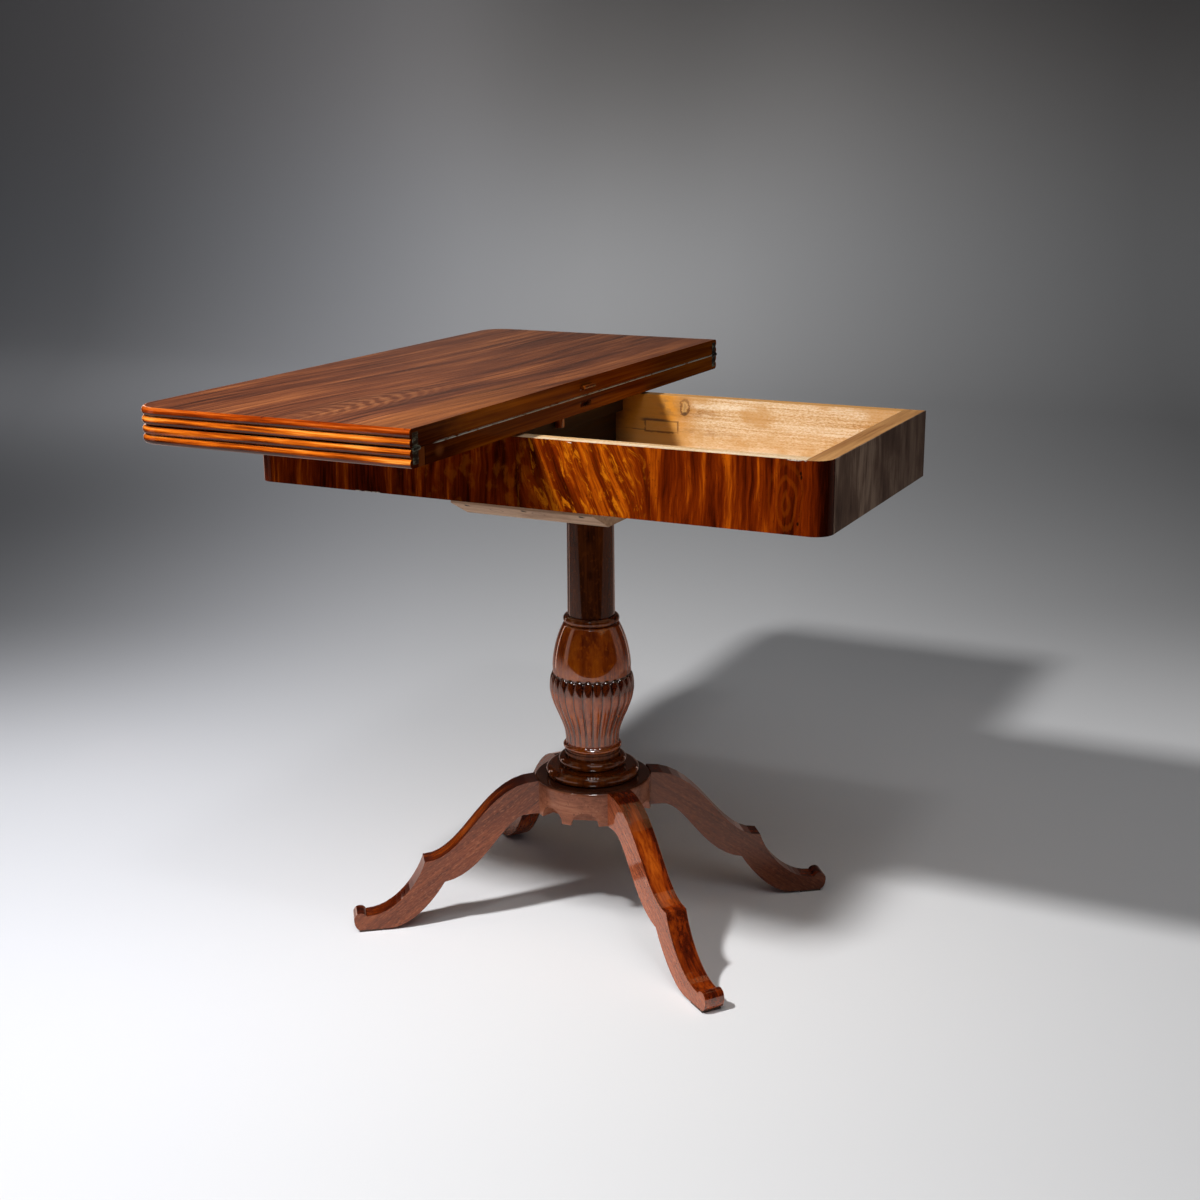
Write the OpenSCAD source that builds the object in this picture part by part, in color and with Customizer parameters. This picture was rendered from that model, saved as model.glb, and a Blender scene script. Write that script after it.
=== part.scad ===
// Games table with a folding top that swivels on a turned pillar with four sabre legs.
// Millimetres, +Z up. The origin lies on the floor under the pillar's axis.
// X runs along the frame, -Y is the show side. The top is drawn swung a quarter turn
// off the frame with its leaves still folded, so that the well in the frame is open.

/* [Top] */
// Height of the top surface above the floor
table_h = 750; // [700:5:800]
// Length of each leaf
leaf_l = 857; // [820:1:900]
// Width of each leaf from its hinged edge to its outer edge
leaf_w = 393; // [375:1:420]
// Thickness of each leaf
leaf_t = 21.5; // [19:0.5:26]
// Gap between the two leaves, folded or open
leaf_gap = 0.8; // [0.4:0.1:1.6]
// Radius of the two outer corners of each leaf
leaf_corner_r = 40; // [28:1:70]
// Width of the reeded lipping round each leaf
lipping_w = 18; // [17:1:26]
// Depth of the quirk between the two reeds of a lipping
quirk_d = 2.6; // [1:0.1:4]

/* [Leaf hinges and tongue] */
// Width of each brass hinge strap
hinge_w = 12; // [9:0.5:14]
// Distance from the leaf's end to the strap
hinge_inset = 4.5; // [3.5:0.5:8]
// Thickness of the straps
hinge_plate_t = 2.5; // [1.5:0.1:3]
// Length of the strap along the playing face
hinge_strap_l = 50; // [48:1:70]
// Height of the strap's return on the hinged edge
hinge_return_h = 17.5; // [15:0.5:18]
// Radius of the knuckles
knuckle_r = 2.8; // [2.2:0.1:3.2]
// Radius of the hinge pins
hinge_pin_r = 1.2; // [0.8:0.1:1.5]
// Clear space round the knuckles
knuckle_clear = 0.3; // [0.2:0.1:0.6]
// Length of the tongue that keeps the open leaves level
tongue_l = 30; // [20:1:60]
// Thickness of the tongue
tongue_t = 5; // [4:0.5:6]
// How far the tongue stands out of the upper leaf
tongue_out = 7; // [5:0.5:9]
// How deep the tongue is let into the upper leaf
tongue_in = 20; // [12:1:40]
// Place of the tongue along the leaf, from its middle
tongue_y = -9; // [-60:1:60]

/* [Frame] */
// How far the closed top overhangs each end of the frame
end_overhang = 35.5; // [25:0.5:50]
// How far the closed top overhangs the frame at front and back
side_overhang = 4.5; // [2:0.5:12]
// Height of the rails
frame_h = 86.5; // [78:0.5:110]
// Gap between the rails and the top
top_gap = 3.2; // [2.4:0.1:5]
// Thickness of the front rail without its veneer
front_rail_t = 22.5; // [19:0.5:28]
// Thickness of the back rail
back_rail_t = 18; // [15:0.5:24]
// Thickness of the end rails without their veneer
end_rail_t = 26.5; // [24:0.5:32]
// Thickness of the veneer
veneer_t = 1.5; // [0.8:0.1:2.5]
// Outer radius of the two front corners
frame_corner_r = 22; // [15:1:25]
// Depth of the stub tenons at the ends of the front and back rails
rail_tenon_d = 10; // [6:1:16]
// Height left at each shoulder of those tenons
rail_shoulder_h = 14; // [12:1:20]
// Thickness of the floor board
floor_t = 8; // [6:0.5:12]
// Height of the floor board above the rails' lower edge
floor_lift = 2; // [1:0.5:4]
// Depth of the grooves that hold the floor board
floor_groove_d = 4; // [3:0.5:5]
// Depth of the rebate that leaves a tongue round the floor board
floor_rebate = 2; // [1:0.5:3]
// Space between the floor board's raised fields and the rails
field_gap = 0.3; // [0.2:0.1:0.8]
// Thickness of the well's partition
partition_t = 14; // [10:1:18]
// How far the partition stands back under the pivot rail's edge
partition_back = 11; // [6:1:20]
// Size of the glue blocks' sides
glue_block = 24; // [14:1:36]
// Length of the repair patch let into the back rail
patch_l = 49; // [30:1:70]
// Height of the repair patch
patch_h = 15; // [10:1:20]
// Depth of the repair patch's pocket
patch_d = 4; // [2:0.5:6]
// How far the repair patch stands proud
patch_proud = 0.6; // [0.2:0.1:1]
// Height of the repair patch above the floor board
patch_lift = 25.5; // [10:0.5:40]
// Length of each glide pad on the rails
glide_l = 60; // [30:1:90]
// Width of each glide pad
glide_w = 13; // [8:1:14]
// Distance of the glide pads from the frame's left end
glide_in = 143; // [90:1:170]

/* [Swivel] */
// Thickness of the rail that carries the pivot
pivot_rail_t = 25; // [20:1:30]
// Depth of the housings that hold the pivot rail
pivot_housing_d = 6; // [4:0.5:10]
// Radius of the pivot bolt
pivot_bolt_r = 8; // [6:0.5:10]
// Wall of the bush that the bolt turns in
bush_wall = 4; // [3:0.5:6]
// Radius of the bush's flange and the collar on it
pivot_flange_r = 21; // [18:0.5:26]
// Thickness of the bush's flange
bush_flange_t = 1.5; // [1:0.1:3]
// Running clearance of the bolt in its bush, on the radius
bolt_clear = 0.05; // [0.02:0.01:0.1]
// End play of the pivot bolt
end_play = 0.3; // [0.2:0.1:0.6]
// Length of the plate under the leaf
pivot_plate_l = 110; // [90:1:130]
// Width of the plate under the leaf
pivot_plate_w = 70; // [60:1:90]
// Thickness of the plate under the leaf
pivot_plate_t = 3; // [2:0.5:4]
// Radius of the pivot bolt's head
bolt_head_r = 14; // [12:0.5:18]
// Height of the pivot bolt's head
bolt_head_h = 5; // [3:0.5:7]
// Radius of the washer under the pivot rail
pivot_washer_r = 18; // [15:0.5:24]
// Thickness of that washer
pivot_washer_t = 2.5; // [1.5:0.5:4]
// Side of the square nut
nut_side = 28; // [22:1:34]
// Thickness of the square nut
nut_t = 12; // [8:1:16]
// How far the bolt stands out of the nut
bolt_end = 3; // [1:0.5:8]
// Radius of the stop peg
peg_r = 6; // [4:0.5:8]
// How far the stop peg hangs under the leaf
peg_drop = 20; // [14:1:24]
// How deep the stop peg is set into the leaf
peg_in = 12; // [8:1:16]
// Place of the stop peg along the swung top, from the pillar
peg_y = -28; // [-60:1:0]
// Space left between the stop peg and what stops it
stop_clear = 0.3; // [0.2:0.1:1]

/* [Bearer] */
// Width of the bearer along the frame
bearer_w = 199; // [160:1:240]
// Thickness of the bearer
bearer_t = 24.5; // [20:0.5:32]
// How far the bearer's ends stop short of the frame's faces
bearer_short = 4; // [2:0.5:10]
// Length of the bevel at each end
bearer_bevel_l = 40; // [25:1:50]
// Thickness left at the ends of the bevels
bearer_edge_t = 4; // [2:0.5:6]
// Distance of the bearer's screws from the frame's faces
bearer_screw_in = 11; // [10.5:0.5:11.5]

/* [Pillar] */
// Radius of the shaft at its foot
shaft_r_low = 32; // [28:0.5:36]
// Radius of the shaft at its top
shaft_r_top = 31.3; // [27:0.1:36]
// Radius of the shaft's upper tenon
top_tenon_r = 22; // [16:0.5:26]
// Height of the hub's top above the floor
hub_top = 203; // [180:1:230]
// Height of the base moulding
base_h = 40; // [36:0.5:48]
// Radius of the base moulding's large torus, at its widest
torus_r = 64; // [58:0.5:72]
// Height of the large torus
torus_h = 15; // [12:0.5:18]
// Radius of the base moulding's small torus, at its widest
bead_r = 46.5; // [43:0.5:50]
// Height of the small torus
bead_h = 13; // [10:0.5:15]
// Height of the vase from its lower ring to its collar
vase_h = 177; // [160:1:200]
// Radius of the vase's neck and of the foot of its lobes
vase_foot_r = 36.5; // [34:0.5:40]
// Radius of the vase across its lobes
lobe_r = 57.4; // [54:0.2:62]
// Height of the lobes
lobe_h = 101; // [90:1:110]
// Number of lobes round the vase
lobe_n = 26; // [20:1:30]
// Width of the quirks between the lobes
lobe_quirk_w = 1.6; // [1:0.1:2.4]
// Depth of the quirks between the lobes
lobe_quirk_d = 1.8; // [1:0.1:2.6]
// Radius of the smooth part above the lobes
egg_r = 52.8; // [50:0.2:53.5]
// Radius of the ring under the lobes
ring_r = 40; // [38.5:0.5:44]
// Height of that ring
ring_h = 6.5; // [5:0.5:9]
// Radius of the collar on the vase's neck
collar_r = 38; // [36:0.5:42]
// Height of the collar
collar_h = 12; // [8:0.5:16]
// Radius of the vase's lower spigot
spigot_r = 19; // [15:0.5:24]
// Radius of the shaft's lower spigot
shaft_spigot_r = 16; // [12:0.5:20]
// Length of the shaft's lower spigot below the collar
shaft_spigot_l = 30; // [20:1:50]

/* [Hub and legs] */
// Radius of the hub
hub_r = 80; // [76:0.5:90]
// Height of the hub
hub_h = 47; // [42:0.5:56]
// Thickness of the hub above its recess
hub_crown_t = 27; // [20:0.5:30]
// Radius of the recess in the hub's underside
hub_recess_r = 40; // [28:0.5:50]
// Radius of the hub's upper edge
hub_edge_r = 4; // [2:0.5:8]
// Radius of the scallops in the hub's lower edge
scallop_r = 18.5; // [12:0.5:19]
// Depth of the scallops, from the hub's face inwards
scallop_d = 22; // [12:0.5:28]
// Half the angle between the two scallops at front and back
scallop_spread = 18.5; // [17:0.5:20]
// Angle of the legs from the frame's long axis
leg_angle = 37; // [35:0.5:42]
// Width of the legs at the hub
leg_root_w = 34; // [30:0.5:38]
// Width of the legs at the toe
leg_toe_w = 27.5; // [24:0.5:30]
// Distance from the pillar's axis to the toe's tip
leg_reach = 336; // [325:1:360]
// Distance from the pillar's axis to the upper knee
knee_out = 236; // [228:1:242]
// Height of the upper knee above the floor
knee_z = 96.5; // [88:0.5:105]
// Distance from the pillar's axis to the lower knee
under_knee_out = 210.5; // [202:0.5:218]
// Height of the lower knee above the floor
under_knee_z = 65; // [58:0.5:72]
// Radius of the scroll at the toe
scroll_r = 9.3; // [7:0.1:11]
// Height of the toe's hollow above the floor
toe_hollow_z = 23; // [18:0.5:28]
// Length of the flat part at the leg's root
leg_flat = 14; // [10:0.5:20]
// Depth of the dovetails that hold the legs
dovetail_d = 17; // [12:0.5:19]
// Width of the dovetails at the hub's face
dovetail_neck = 12; // [8:0.5:16]
// Width of the dovetails at their root
dovetail_root = 18; // [17:0.5:22]
// Height of the dovetails
dovetail_h = 39; // [28:0.5:40]
// Thickness of the foot pads
foot_pad_t = 3; // [2:0.5:5]
// Length of the foot pads
foot_pad_l = 30; // [20:1:40]
// Width left at each side of the foot pads
foot_pad_in = 0.5; // [0:0.5:3]
// Thickness of the iron brace under the hub
brace_t = 2.5; // [2.3:0.1:4]
// Width of the brace's arms
brace_w = 16; // [12:1:20]
// Radius of the brace's middle
brace_r = 30; // [24:1:40]

/* [Screws] */
// Radius of the small hinge screws
hinge_screw_r = 1.5; // [1:0.1:2]
// Length of the small hinge screws
hinge_screw_l = 12; // [9:0.5:14]
// Radius of the plate, brace and bearer screws
big_screw_r = 2.2; // [1.6:0.1:3]
// Length of the plate screws
plate_screw_l = 12; // [9:0.5:15]
// Length of the brace screws
brace_screw_l = 24; // [16:1:30]
// Length of the bearer screws
bearer_screw_l = 38; // [30:1:45]

/* [Hidden] */
$fn = 96;

// Small amounts shared by all the pieces
fit = 0.05;          // clearance on the radius of a round tenon, peg or screw
cut = 1;             // overshoot of a cut
curve_steps = 14;    // straight pieces in each drawn curve

// Heights
joint_z = table_h - leaf_t - leaf_gap / 2;
lower_top = joint_z - leaf_gap / 2;
leaf_under = lower_top - leaf_t;
rail_top = leaf_under - top_gap;
rail_low = rail_top - frame_h;
floor_low = rail_low + floor_lift;
floor_top = floor_low + floor_t;
field_low = floor_top - floor_rebate;
bearer_low = rail_low - bearer_t;
hub_low = hub_top - hub_h;
base_top = hub_top + base_h;
vase_top = base_top + vase_h;
collar_top = vase_top + collar_h;

// Plan of the frame
frame_x = leaf_l / 2 - end_overhang;
frame_y = leaf_w / 2 - side_overhang;
rail_end_x = frame_x - veneer_t - end_rail_t;
front_in_y = -frame_y + veneer_t + front_rail_t;
back_in_y = frame_y - back_rail_t;
core_r = frame_corner_r - veneer_t;

// The pivot lies a quarter of the leaf's width left of and behind the pillar
pivot_x = -leaf_w / 4;
pivot_y = leaf_w / 4;

// The stop peg meets the back rail when the top is closed, and the pivot rail when it is open
peg_x = back_in_y - peg_r - stop_clear - leaf_w / 2;
pivot_rail_x1 = peg_x - peg_r - stop_clear;
pivot_rail_x0 = 2 * pivot_x - pivot_rail_x1;
pivot_rail_low = rail_top - pivot_rail_t;
partition_x1 = pivot_rail_x1 - partition_back;

// The tongue swings about the hinge line into a slot that clears the arc of its nose
tongue_arm = (leaf_gap + leaf_t) / 2;
tongue_sweep = norm([tongue_out - tongue_t / 2, tongue_arm]) + tongue_t / 2;
slot_clear = 0.3;
slot_low = tongue_sweep + slot_clear;
slot_high = tongue_arm - tongue_t / 2 - slot_clear;

reed_r = leaf_t / 4;
hinge_y0 = leaf_l / 2 - hinge_inset - hinge_w;
knuckle_play = 0.2;
strap_screw_near = 22;
strap_screw_step = 19;
return_screw_z = 12;

bush_r = pivot_bolt_r + bush_wall;
thread_r = pivot_bolt_r + fit;
plate_screw_in = 12;
peg_chamfer = 1;
wedge_wide = 5;
wedge_thin = 1.5;
wedge_l = 18;
bearer_screw_x = bearer_w / 2 - 20;
bearer_head_r = 3.8;
bearer_head_h = 2.8;
bearer_head_cover = 4;
brace_screw_out = 6;
foot_flat_in = 50;
foot_flat_out = 7;
scroll_rise = 5;
leg_angles = [180 + leg_angle, -leg_angle, 180 - leg_angle, leg_angle];

// Colours
mahogany = [0.45, 0.2, 0.09];
dark_mahogany = [0.3, 0.12, 0.06];
lipping_wood = [0.66, 0.31, 0.1];
pale_wood = [0.82, 0.69, 0.48];
brown_wood = [0.66, 0.47, 0.27];
brass_tone = [0.48, 0.42, 0.26];
iron_tone = [0.24, 0.23, 0.22];
leather_tone = [0.2, 0.15, 0.12];

// Points of a smooth curve from a to d that leaves towards b and arrives from c
function bend(a, b, c, d, first = 0) =
    [for (i = [first : curve_steps])
        let (t = i / curve_steps, u = 1 - t)
        u * u * u * a + 3 * u * u * t * b + 3 * u * t * t * c + t * t * t * d];

// Points of a half-round nose from its lower to its upper edge
function nose(x, z, r) =
    [for (i = [0 : curve_steps])
        let (a = -90 + 180 * i / curve_steps)
        [x + r * cos(a), z + r * sin(a)]];

// Block given by two corners
module block(low, high) {
    translate(low)
        cube(high - low);
}

// Round hole or rod along Z
module rod(r, z0, z1) {
    translate([0, 0, z0])
        cylinder(r = r, h = z1 - z0);
}

// Countersunk screw with its head flush at z = 0, pointing down
module wood_screw(r, l) {
    difference() {
        rotate_extrude()
            polygon([[0, -l], [r, -l], [r, -r], [2 * r, 0], [0, 0]]);
        translate([-3 * r, -r / 4, -r / 3])
            cube([6 * r, r / 2, r]);
    }
}

module wood_screw_hole(r, l) {
    rotate_extrude()
        polygon([[0, -l - cut], [r + fit, -l - cut], [r + fit, -r],
                 [2 * r + fit, 0], [2 * r + fit, cut], [0, cut]]);
}

// Puts children at both ends of the leaf's hinged edge, with the near hinge's origin on the pin
module at_hinges() {
    for (side = [0, 1])
        mirror([0, side, 0])
            translate([0, hinge_y0, joint_z])
                children();
}

// Outer profile of the lipping: x is outwards from its inner face, y is up
module lipping_profile() {
    reed_x = lipping_w - reed_r;
    square([reed_x, leaf_t]);
    for (z = [reed_r, leaf_t - reed_r])
        translate([reed_x, z])
            circle(r = reed_r);
    translate([reed_x - cut, reed_r])
        square([reed_r + cut - quirk_d, leaf_t - 2 * reed_r]);
}

// The same profile set out from the centre of a corner's curve
module corner_profile() {
    translate([leaf_corner_r - lipping_w, 0])
        lipping_profile();
}

// Lipping on three sides of a leaf, with its underside at z = 0.
// Each half is drawn from its corner's centre, so that the curve and the straight runs meet exactly
module lipping_sweep() {
    half_run = leaf_l / 2 - leaf_corner_r;
    end_run = leaf_w - leaf_corner_r - leaf_gap / 2;
    for (side = [0, 1])
        mirror([0, side, 0])
            translate([-leaf_w + leaf_corner_r, half_run, 0]) {
                translate([0, -half_run, 0])
                    rotate([90, 0, 180])
                        linear_extrude(half_run)
                            corner_profile();
                rotate([0, 0, 90])
                    rotate_extrude(angle = 90)
                        corner_profile();
                rotate([90, 0, 90])
                    linear_extrude(end_run)
                        corner_profile();
            }
}

// Plain board inside the lipping, with its underside at z = 0
module board_blank() {
    x0 = -leaf_w + lipping_w;
    x1 = -leaf_gap / 2;
    y1 = leaf_l / 2 - lipping_w;
    r = leaf_corner_r - lipping_w;
    linear_extrude(leaf_t) {
        translate([x0 + r, -y1])
            square([x1 - x0 - r, 2 * y1]);
        translate([x0, -y1 + r])
            square([r + cut, 2 * (y1 - r)]);
        for (s = [-1, 1])
            translate([x0 + r, s * (y1 - r)])
                circle(r = r);
    }
}

// Strap and return of a hinge for the lower leaf, seen from the pin
module strap_blank() {
    g = leaf_gap / 2;
    block([-hinge_strap_l, 0, -g - hinge_plate_t], [-g, hinge_w, -g]);
    block([-g - hinge_plate_t, 0, -g - hinge_return_h], [-g, hinge_w, -g]);
}

// Screws of one strap, or their holes
module strap_screws(hole) {
    g = leaf_gap / 2;
    for (i = [0, 1])
        translate([-strap_screw_near - i * strap_screw_step, hinge_w / 2, -g])
            if (hole) wood_screw_hole(hinge_screw_r, hinge_screw_l);
            else wood_screw(hinge_screw_r, hinge_screw_l);
    translate([-g, hinge_w / 2, -g - return_screw_z])
        rotate([0, 90, 0])
            if (hole) wood_screw_hole(hinge_screw_r, hinge_screw_l);
            else wood_screw(hinge_screw_r, hinge_screw_l);
}

// Length of hinge barrel along Y
module barrel(r, y0, y1) {
    translate([0, y0, 0])
        rotate([-90, 0, 0])
            cylinder(r = r, h = y1 - y0);
}

// Room for a whole hinge in the lower leaf, seen from the pin
module hinge_pocket() {
    strap_blank();
    barrel(knuckle_r + knuckle_clear, -knuckle_clear, hinge_w + knuckle_clear);
    strap_screws(true);
}

// Lower half of a hinge: the two outer knuckles
module lower_strap() {
    third = hinge_w / 3;
    half_play = knuckle_play / 2;
    difference() {
        union() {
            difference() {
                strap_blank();
                barrel(knuckle_r + knuckle_clear, third - half_play, 2 * third + half_play);
            }
            barrel(knuckle_r, 0, third - half_play);
            barrel(knuckle_r, 2 * third + half_play, hinge_w);
        }
        barrel(hinge_pin_r + fit, -cut, hinge_w + cut);
        strap_screws(true);
    }
}

// Upper half of a hinge: the middle knuckle
module upper_strap() {
    third = hinge_w / 3;
    half_play = knuckle_play / 2;
    difference() {
        union() {
            difference() {
                mirror([0, 0, 1])
                    strap_blank();
                barrel(knuckle_r + knuckle_clear, -cut, third + half_play);
                barrel(knuckle_r + knuckle_clear, 2 * third - half_play, hinge_w + cut);
            }
            barrel(knuckle_r, third + half_play, 2 * third - half_play);
        }
        barrel(hinge_pin_r + fit, -cut, hinge_w + cut);
        mirror([0, 0, 1])
            strap_screws(true);
    }
}

module lower_hinge_pockets() {
    at_hinges()
        hinge_pocket();
}

module upper_hinge_pockets() {
    at_hinges()
        mirror([0, 0, 1])
            hinge_pocket();
}

module lower_leaf_board() {
    color(mahogany)
        difference() {
            translate([0, 0, leaf_under])
                board_blank();
            lower_hinge_pockets();
            block([-tongue_out - cut, tongue_y - tongue_l / 2 - slot_clear, joint_z - slot_low],
                  [cut, tongue_y + tongue_l / 2 + slot_clear, joint_z - slot_high]);
            at_pivot() {
                plate_blank(cut);
                rod(bolt_head_r + fit, leaf_under, leaf_under + pivot_plate_t + bolt_head_h);
                plate_screws(true);
            }
            translate([peg_x, peg_y, 0])
                rod(peg_r + fit, leaf_under - cut, leaf_under + peg_in);
        }
}

module lower_leaf_lipping() {
    color(lipping_wood)
        difference() {
            translate([0, 0, leaf_under])
                lipping_sweep();
            lower_hinge_pockets();
        }
}

module upper_leaf_board() {
    color(mahogany)
        difference() {
            translate([0, 0, table_h - leaf_t])
                board_blank();
            upper_hinge_pockets();
            block([-tongue_in, tongue_y - tongue_l / 2, joint_z + tongue_arm - tongue_t / 2],
                  [cut, tongue_y + tongue_l / 2, joint_z + tongue_arm + tongue_t / 2]);
        }
}

module upper_leaf_lipping() {
    color(lipping_wood)
        difference() {
            translate([0, 0, table_h - leaf_t])
                lipping_sweep();
            upper_hinge_pockets();
        }
}

// Wooden tongue with a rounded nose
module leaf_tongue() {
    r = tongue_t / 2;
    color(dark_mahogany)
        translate([0, tongue_y + tongue_l / 2, joint_z + tongue_arm])
            rotate([90, 0, 0])
                linear_extrude(tongue_l) {
                    translate([-tongue_in, -r])
                        square([tongue_in + tongue_out - r, tongue_t]);
                    translate([tongue_out - r, 0])
                        circle(r = r);
                }
}

module lower_hinge_straps() {
    color(brass_tone)
        at_hinges()
            lower_strap();
}

module upper_hinge_straps() {
    color(brass_tone)
        at_hinges()
            upper_strap();
}

module lower_hinge_screws() {
    color(brass_tone)
        at_hinges()
            strap_screws(false);
}

module upper_hinge_screws() {
    color(brass_tone)
        at_hinges()
            mirror([0, 0, 1])
                strap_screws(false);
}

module hinge_pins() {
    color(brass_tone)
        at_hinges()
            barrel(hinge_pin_r, 0, hinge_w);
}

module at_pivot() {
    translate([pivot_x, pivot_y, 0])
        children();
}

// Plate let into the underside of the lower leaf, or its pocket with an overshoot below
module plate_blank(over) {
    translate([-pivot_plate_l / 2, -pivot_plate_w / 2, leaf_under - over])
        cube([pivot_plate_l, pivot_plate_w, pivot_plate_t + over]);
}

// Screws of the plate, or their holes
module plate_screws(hole) {
    for (sx = [-1, 1], sy = [-1, 1])
        translate([sx * (pivot_plate_l / 2 - plate_screw_in),
                   sy * (pivot_plate_w / 2 - plate_screw_in), leaf_under])
            mirror([0, 0, 1])
                if (hole) wood_screw_hole(big_screw_r, plate_screw_l);
                else wood_screw(big_screw_r, plate_screw_l);
}

module pivot_plate() {
    color(iron_tone)
        at_pivot()
            difference() {
                plate_blank(0);
                rod(thread_r, leaf_under - cut, leaf_under + pivot_plate_t + cut);
                plate_screws(true);
            }
}

module pivot_plate_screws() {
    color(iron_tone)
        at_pivot()
            plate_screws(false);
}

// Heights of what hangs under the pivot rail
washer_low = pivot_rail_low - end_play - pivot_washer_t;
nut_low = washer_low - nut_t;

module pivot_bolt() {
    color(iron_tone)
        at_pivot() {
            rod(pivot_bolt_r, nut_low - bolt_end, leaf_under + pivot_plate_t + cut);
            rod(bolt_head_r, leaf_under + pivot_plate_t, leaf_under + pivot_plate_t + bolt_head_h);
        }
}

module pivot_collar() {
    color(iron_tone)
        at_pivot()
            difference() {
                rod(pivot_flange_r, rail_top + end_play, leaf_under);
                rod(thread_r, rail_top - cut, leaf_under + cut);
            }
}

module pivot_washer() {
    color(iron_tone)
        at_pivot()
            difference() {
                rod(pivot_washer_r, washer_low, washer_low + pivot_washer_t);
                rod(thread_r, washer_low - cut, pivot_rail_low);
            }
}

module pivot_nut() {
    color(iron_tone)
        at_pivot()
            difference() {
                translate([-nut_side / 2, -nut_side / 2, nut_low])
                    cube([nut_side, nut_side, nut_t]);
                rod(thread_r, nut_low - cut, washer_low + cut);
            }
}

module stop_peg() {
    color(mahogany)
        translate([peg_x, peg_y, 0]) {
            rod(peg_r, leaf_under - peg_drop + peg_chamfer, leaf_under + peg_in);
            translate([0, 0, leaf_under - peg_drop])
                cylinder(r1 = peg_r - peg_chamfer, r2 = peg_r, h = peg_chamfer);
        }
}

module pivot_bush() {
    color(brass_tone)
        at_pivot()
            difference() {
                union() {
                    rod(bush_r, pivot_rail_low, rail_top);
                    rod(pivot_flange_r, rail_top - bush_flange_t, rail_top);
                }
                rod(pivot_bolt_r + bolt_clear, pivot_rail_low - cut, rail_top + cut);
            }
}

// Room for the pivot rail, as long as its housings are deep
module pivot_rail_blank() {
    block([pivot_rail_x0, front_in_y - pivot_housing_d, pivot_rail_low],
          [pivot_rail_x1, back_in_y + pivot_housing_d, rail_top]);
}

module pivot_rail() {
    color(pale_wood)
        difference() {
            pivot_rail_blank();
            at_pivot() {
                rod(bush_r + fit, pivot_rail_low - cut, rail_top + cut);
                rod(pivot_flange_r + fit, rail_top - bush_flange_t, rail_top + cut);
            }
        }
}

// The same room with an overshoot above, for the housings
module pivot_housings() {
    pivot_rail_blank();
    translate([0, 0, cut])
        pivot_rail_blank();
}

// Thin part of the floor board, as wide and as long as its grooves
module floor_tongue() {
    block([-rail_end_x - floor_groove_d, front_in_y - floor_groove_d, floor_low],
          [rail_end_x + floor_groove_d, back_in_y + floor_groove_d, field_low]);
}

// Raised field of the floor board between two places along the frame
module floor_field(x0, x1) {
    block([x0, front_in_y + field_gap, field_low - fit],
          [x1, back_in_y - field_gap, floor_top]);
}

// Floor board with a field on each side of the partition's housing
module well_floor() {
    color(pale_wood) {
        floor_tongue();
        floor_field(-rail_end_x + field_gap, partition_x1 - partition_t - fit);
        floor_field(partition_x1 + fit, rail_end_x - field_gap);
    }
}

// Stub tenons of the front or the back rail, from its outer to its inner face
module rail_tenons(y0, y1) {
    third = (y1 - y0) / 3;
    block([-rail_end_x - rail_tenon_d, y0 + third, rail_low + rail_shoulder_h],
          [rail_end_x + rail_tenon_d, y1 - third, rail_top - rail_shoulder_h]);
}

module front_tenons() {
    rail_tenons(-frame_y + veneer_t, front_in_y);
}

module back_tenons() {
    rail_tenons(back_in_y, frame_y);
}

// Holes for the bearer's screws in the rails
module bearer_screw_places() {
    for (sx = [-1, 0, 1], sy = [-1, 1])
        translate([sx * bearer_screw_x, sy * (frame_y - bearer_screw_in), 0])
            children();
}

bearer_head_z = rail_low - bearer_head_cover;

module bearer_screw_shanks() {
    bearer_screw_places()
        rod(big_screw_r + fit, rail_low - bearer_t, bearer_head_z + bearer_screw_l + cut);
}

module front_rail() {
    color(pale_wood)
        difference() {
            union() {
                block([-rail_end_x, -frame_y + veneer_t, rail_low], [rail_end_x, front_in_y, rail_top]);
                front_tenons();
            }
            floor_tongue();
            pivot_housings();
            bearer_screw_shanks();
        }
}

module back_rail() {
    color(brown_wood)
        difference() {
            union() {
                block([-rail_end_x, back_in_y, rail_low], [rail_end_x, frame_y, rail_top]);
                back_tenons();
            }
            floor_tongue();
            pivot_housings();
            bearer_screw_shanks();
            patch_blank(back_in_y - cut);
        }
}

// Patch from the given face to the bottom of its pocket
module patch_blank(y0) {
    block([0, y0, floor_top + patch_lift],
          [patch_l, back_in_y + patch_d, floor_top + patch_lift + patch_h]);
}

module repair_patch() {
    color(pale_wood)
        patch_blank(back_in_y - patch_proud);
}

// Plan of the right end rail, with its front outer corner rounded for the veneer
module end_rail_plan() {
    depth = 2 * frame_y - veneer_t;
    translate([rail_end_x, -frame_y + veneer_t])
        intersection() {
            square([end_rail_t, depth]);
            union() {
                translate([0, core_r])
                    square([end_rail_t, depth]);
                square([end_rail_t - core_r, depth]);
                translate([end_rail_t - core_r, core_r])
                    circle(r = core_r);
            }
        }
}

module right_rail_blank() {
    difference() {
        translate([0, 0, rail_low])
            linear_extrude(frame_h)
                end_rail_plan();
        floor_tongue();
        front_tenons();
        back_tenons();
    }
}

module right_end_rail() {
    color(brown_wood)
        right_rail_blank();
}

module left_end_rail() {
    color(brown_wood)
        mirror([1, 0, 0])
            right_rail_blank();
}

// Front veneer, bent round both front corners
module front_veneer() {
    straight_x = frame_x - frame_corner_r;
    color(mahogany) {
        block([-straight_x, -frame_y, rail_low], [straight_x, -frame_y + veneer_t, rail_top]);
        for (side = [0, 1])
            mirror([side, 0, 0])
                translate([straight_x, -frame_y + frame_corner_r, rail_low])
                    rotate([0, 0, -90])
                        rotate_extrude(angle = 90)
                            translate([core_r, 0])
                                square([veneer_t, frame_h]);
    }
}

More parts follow.
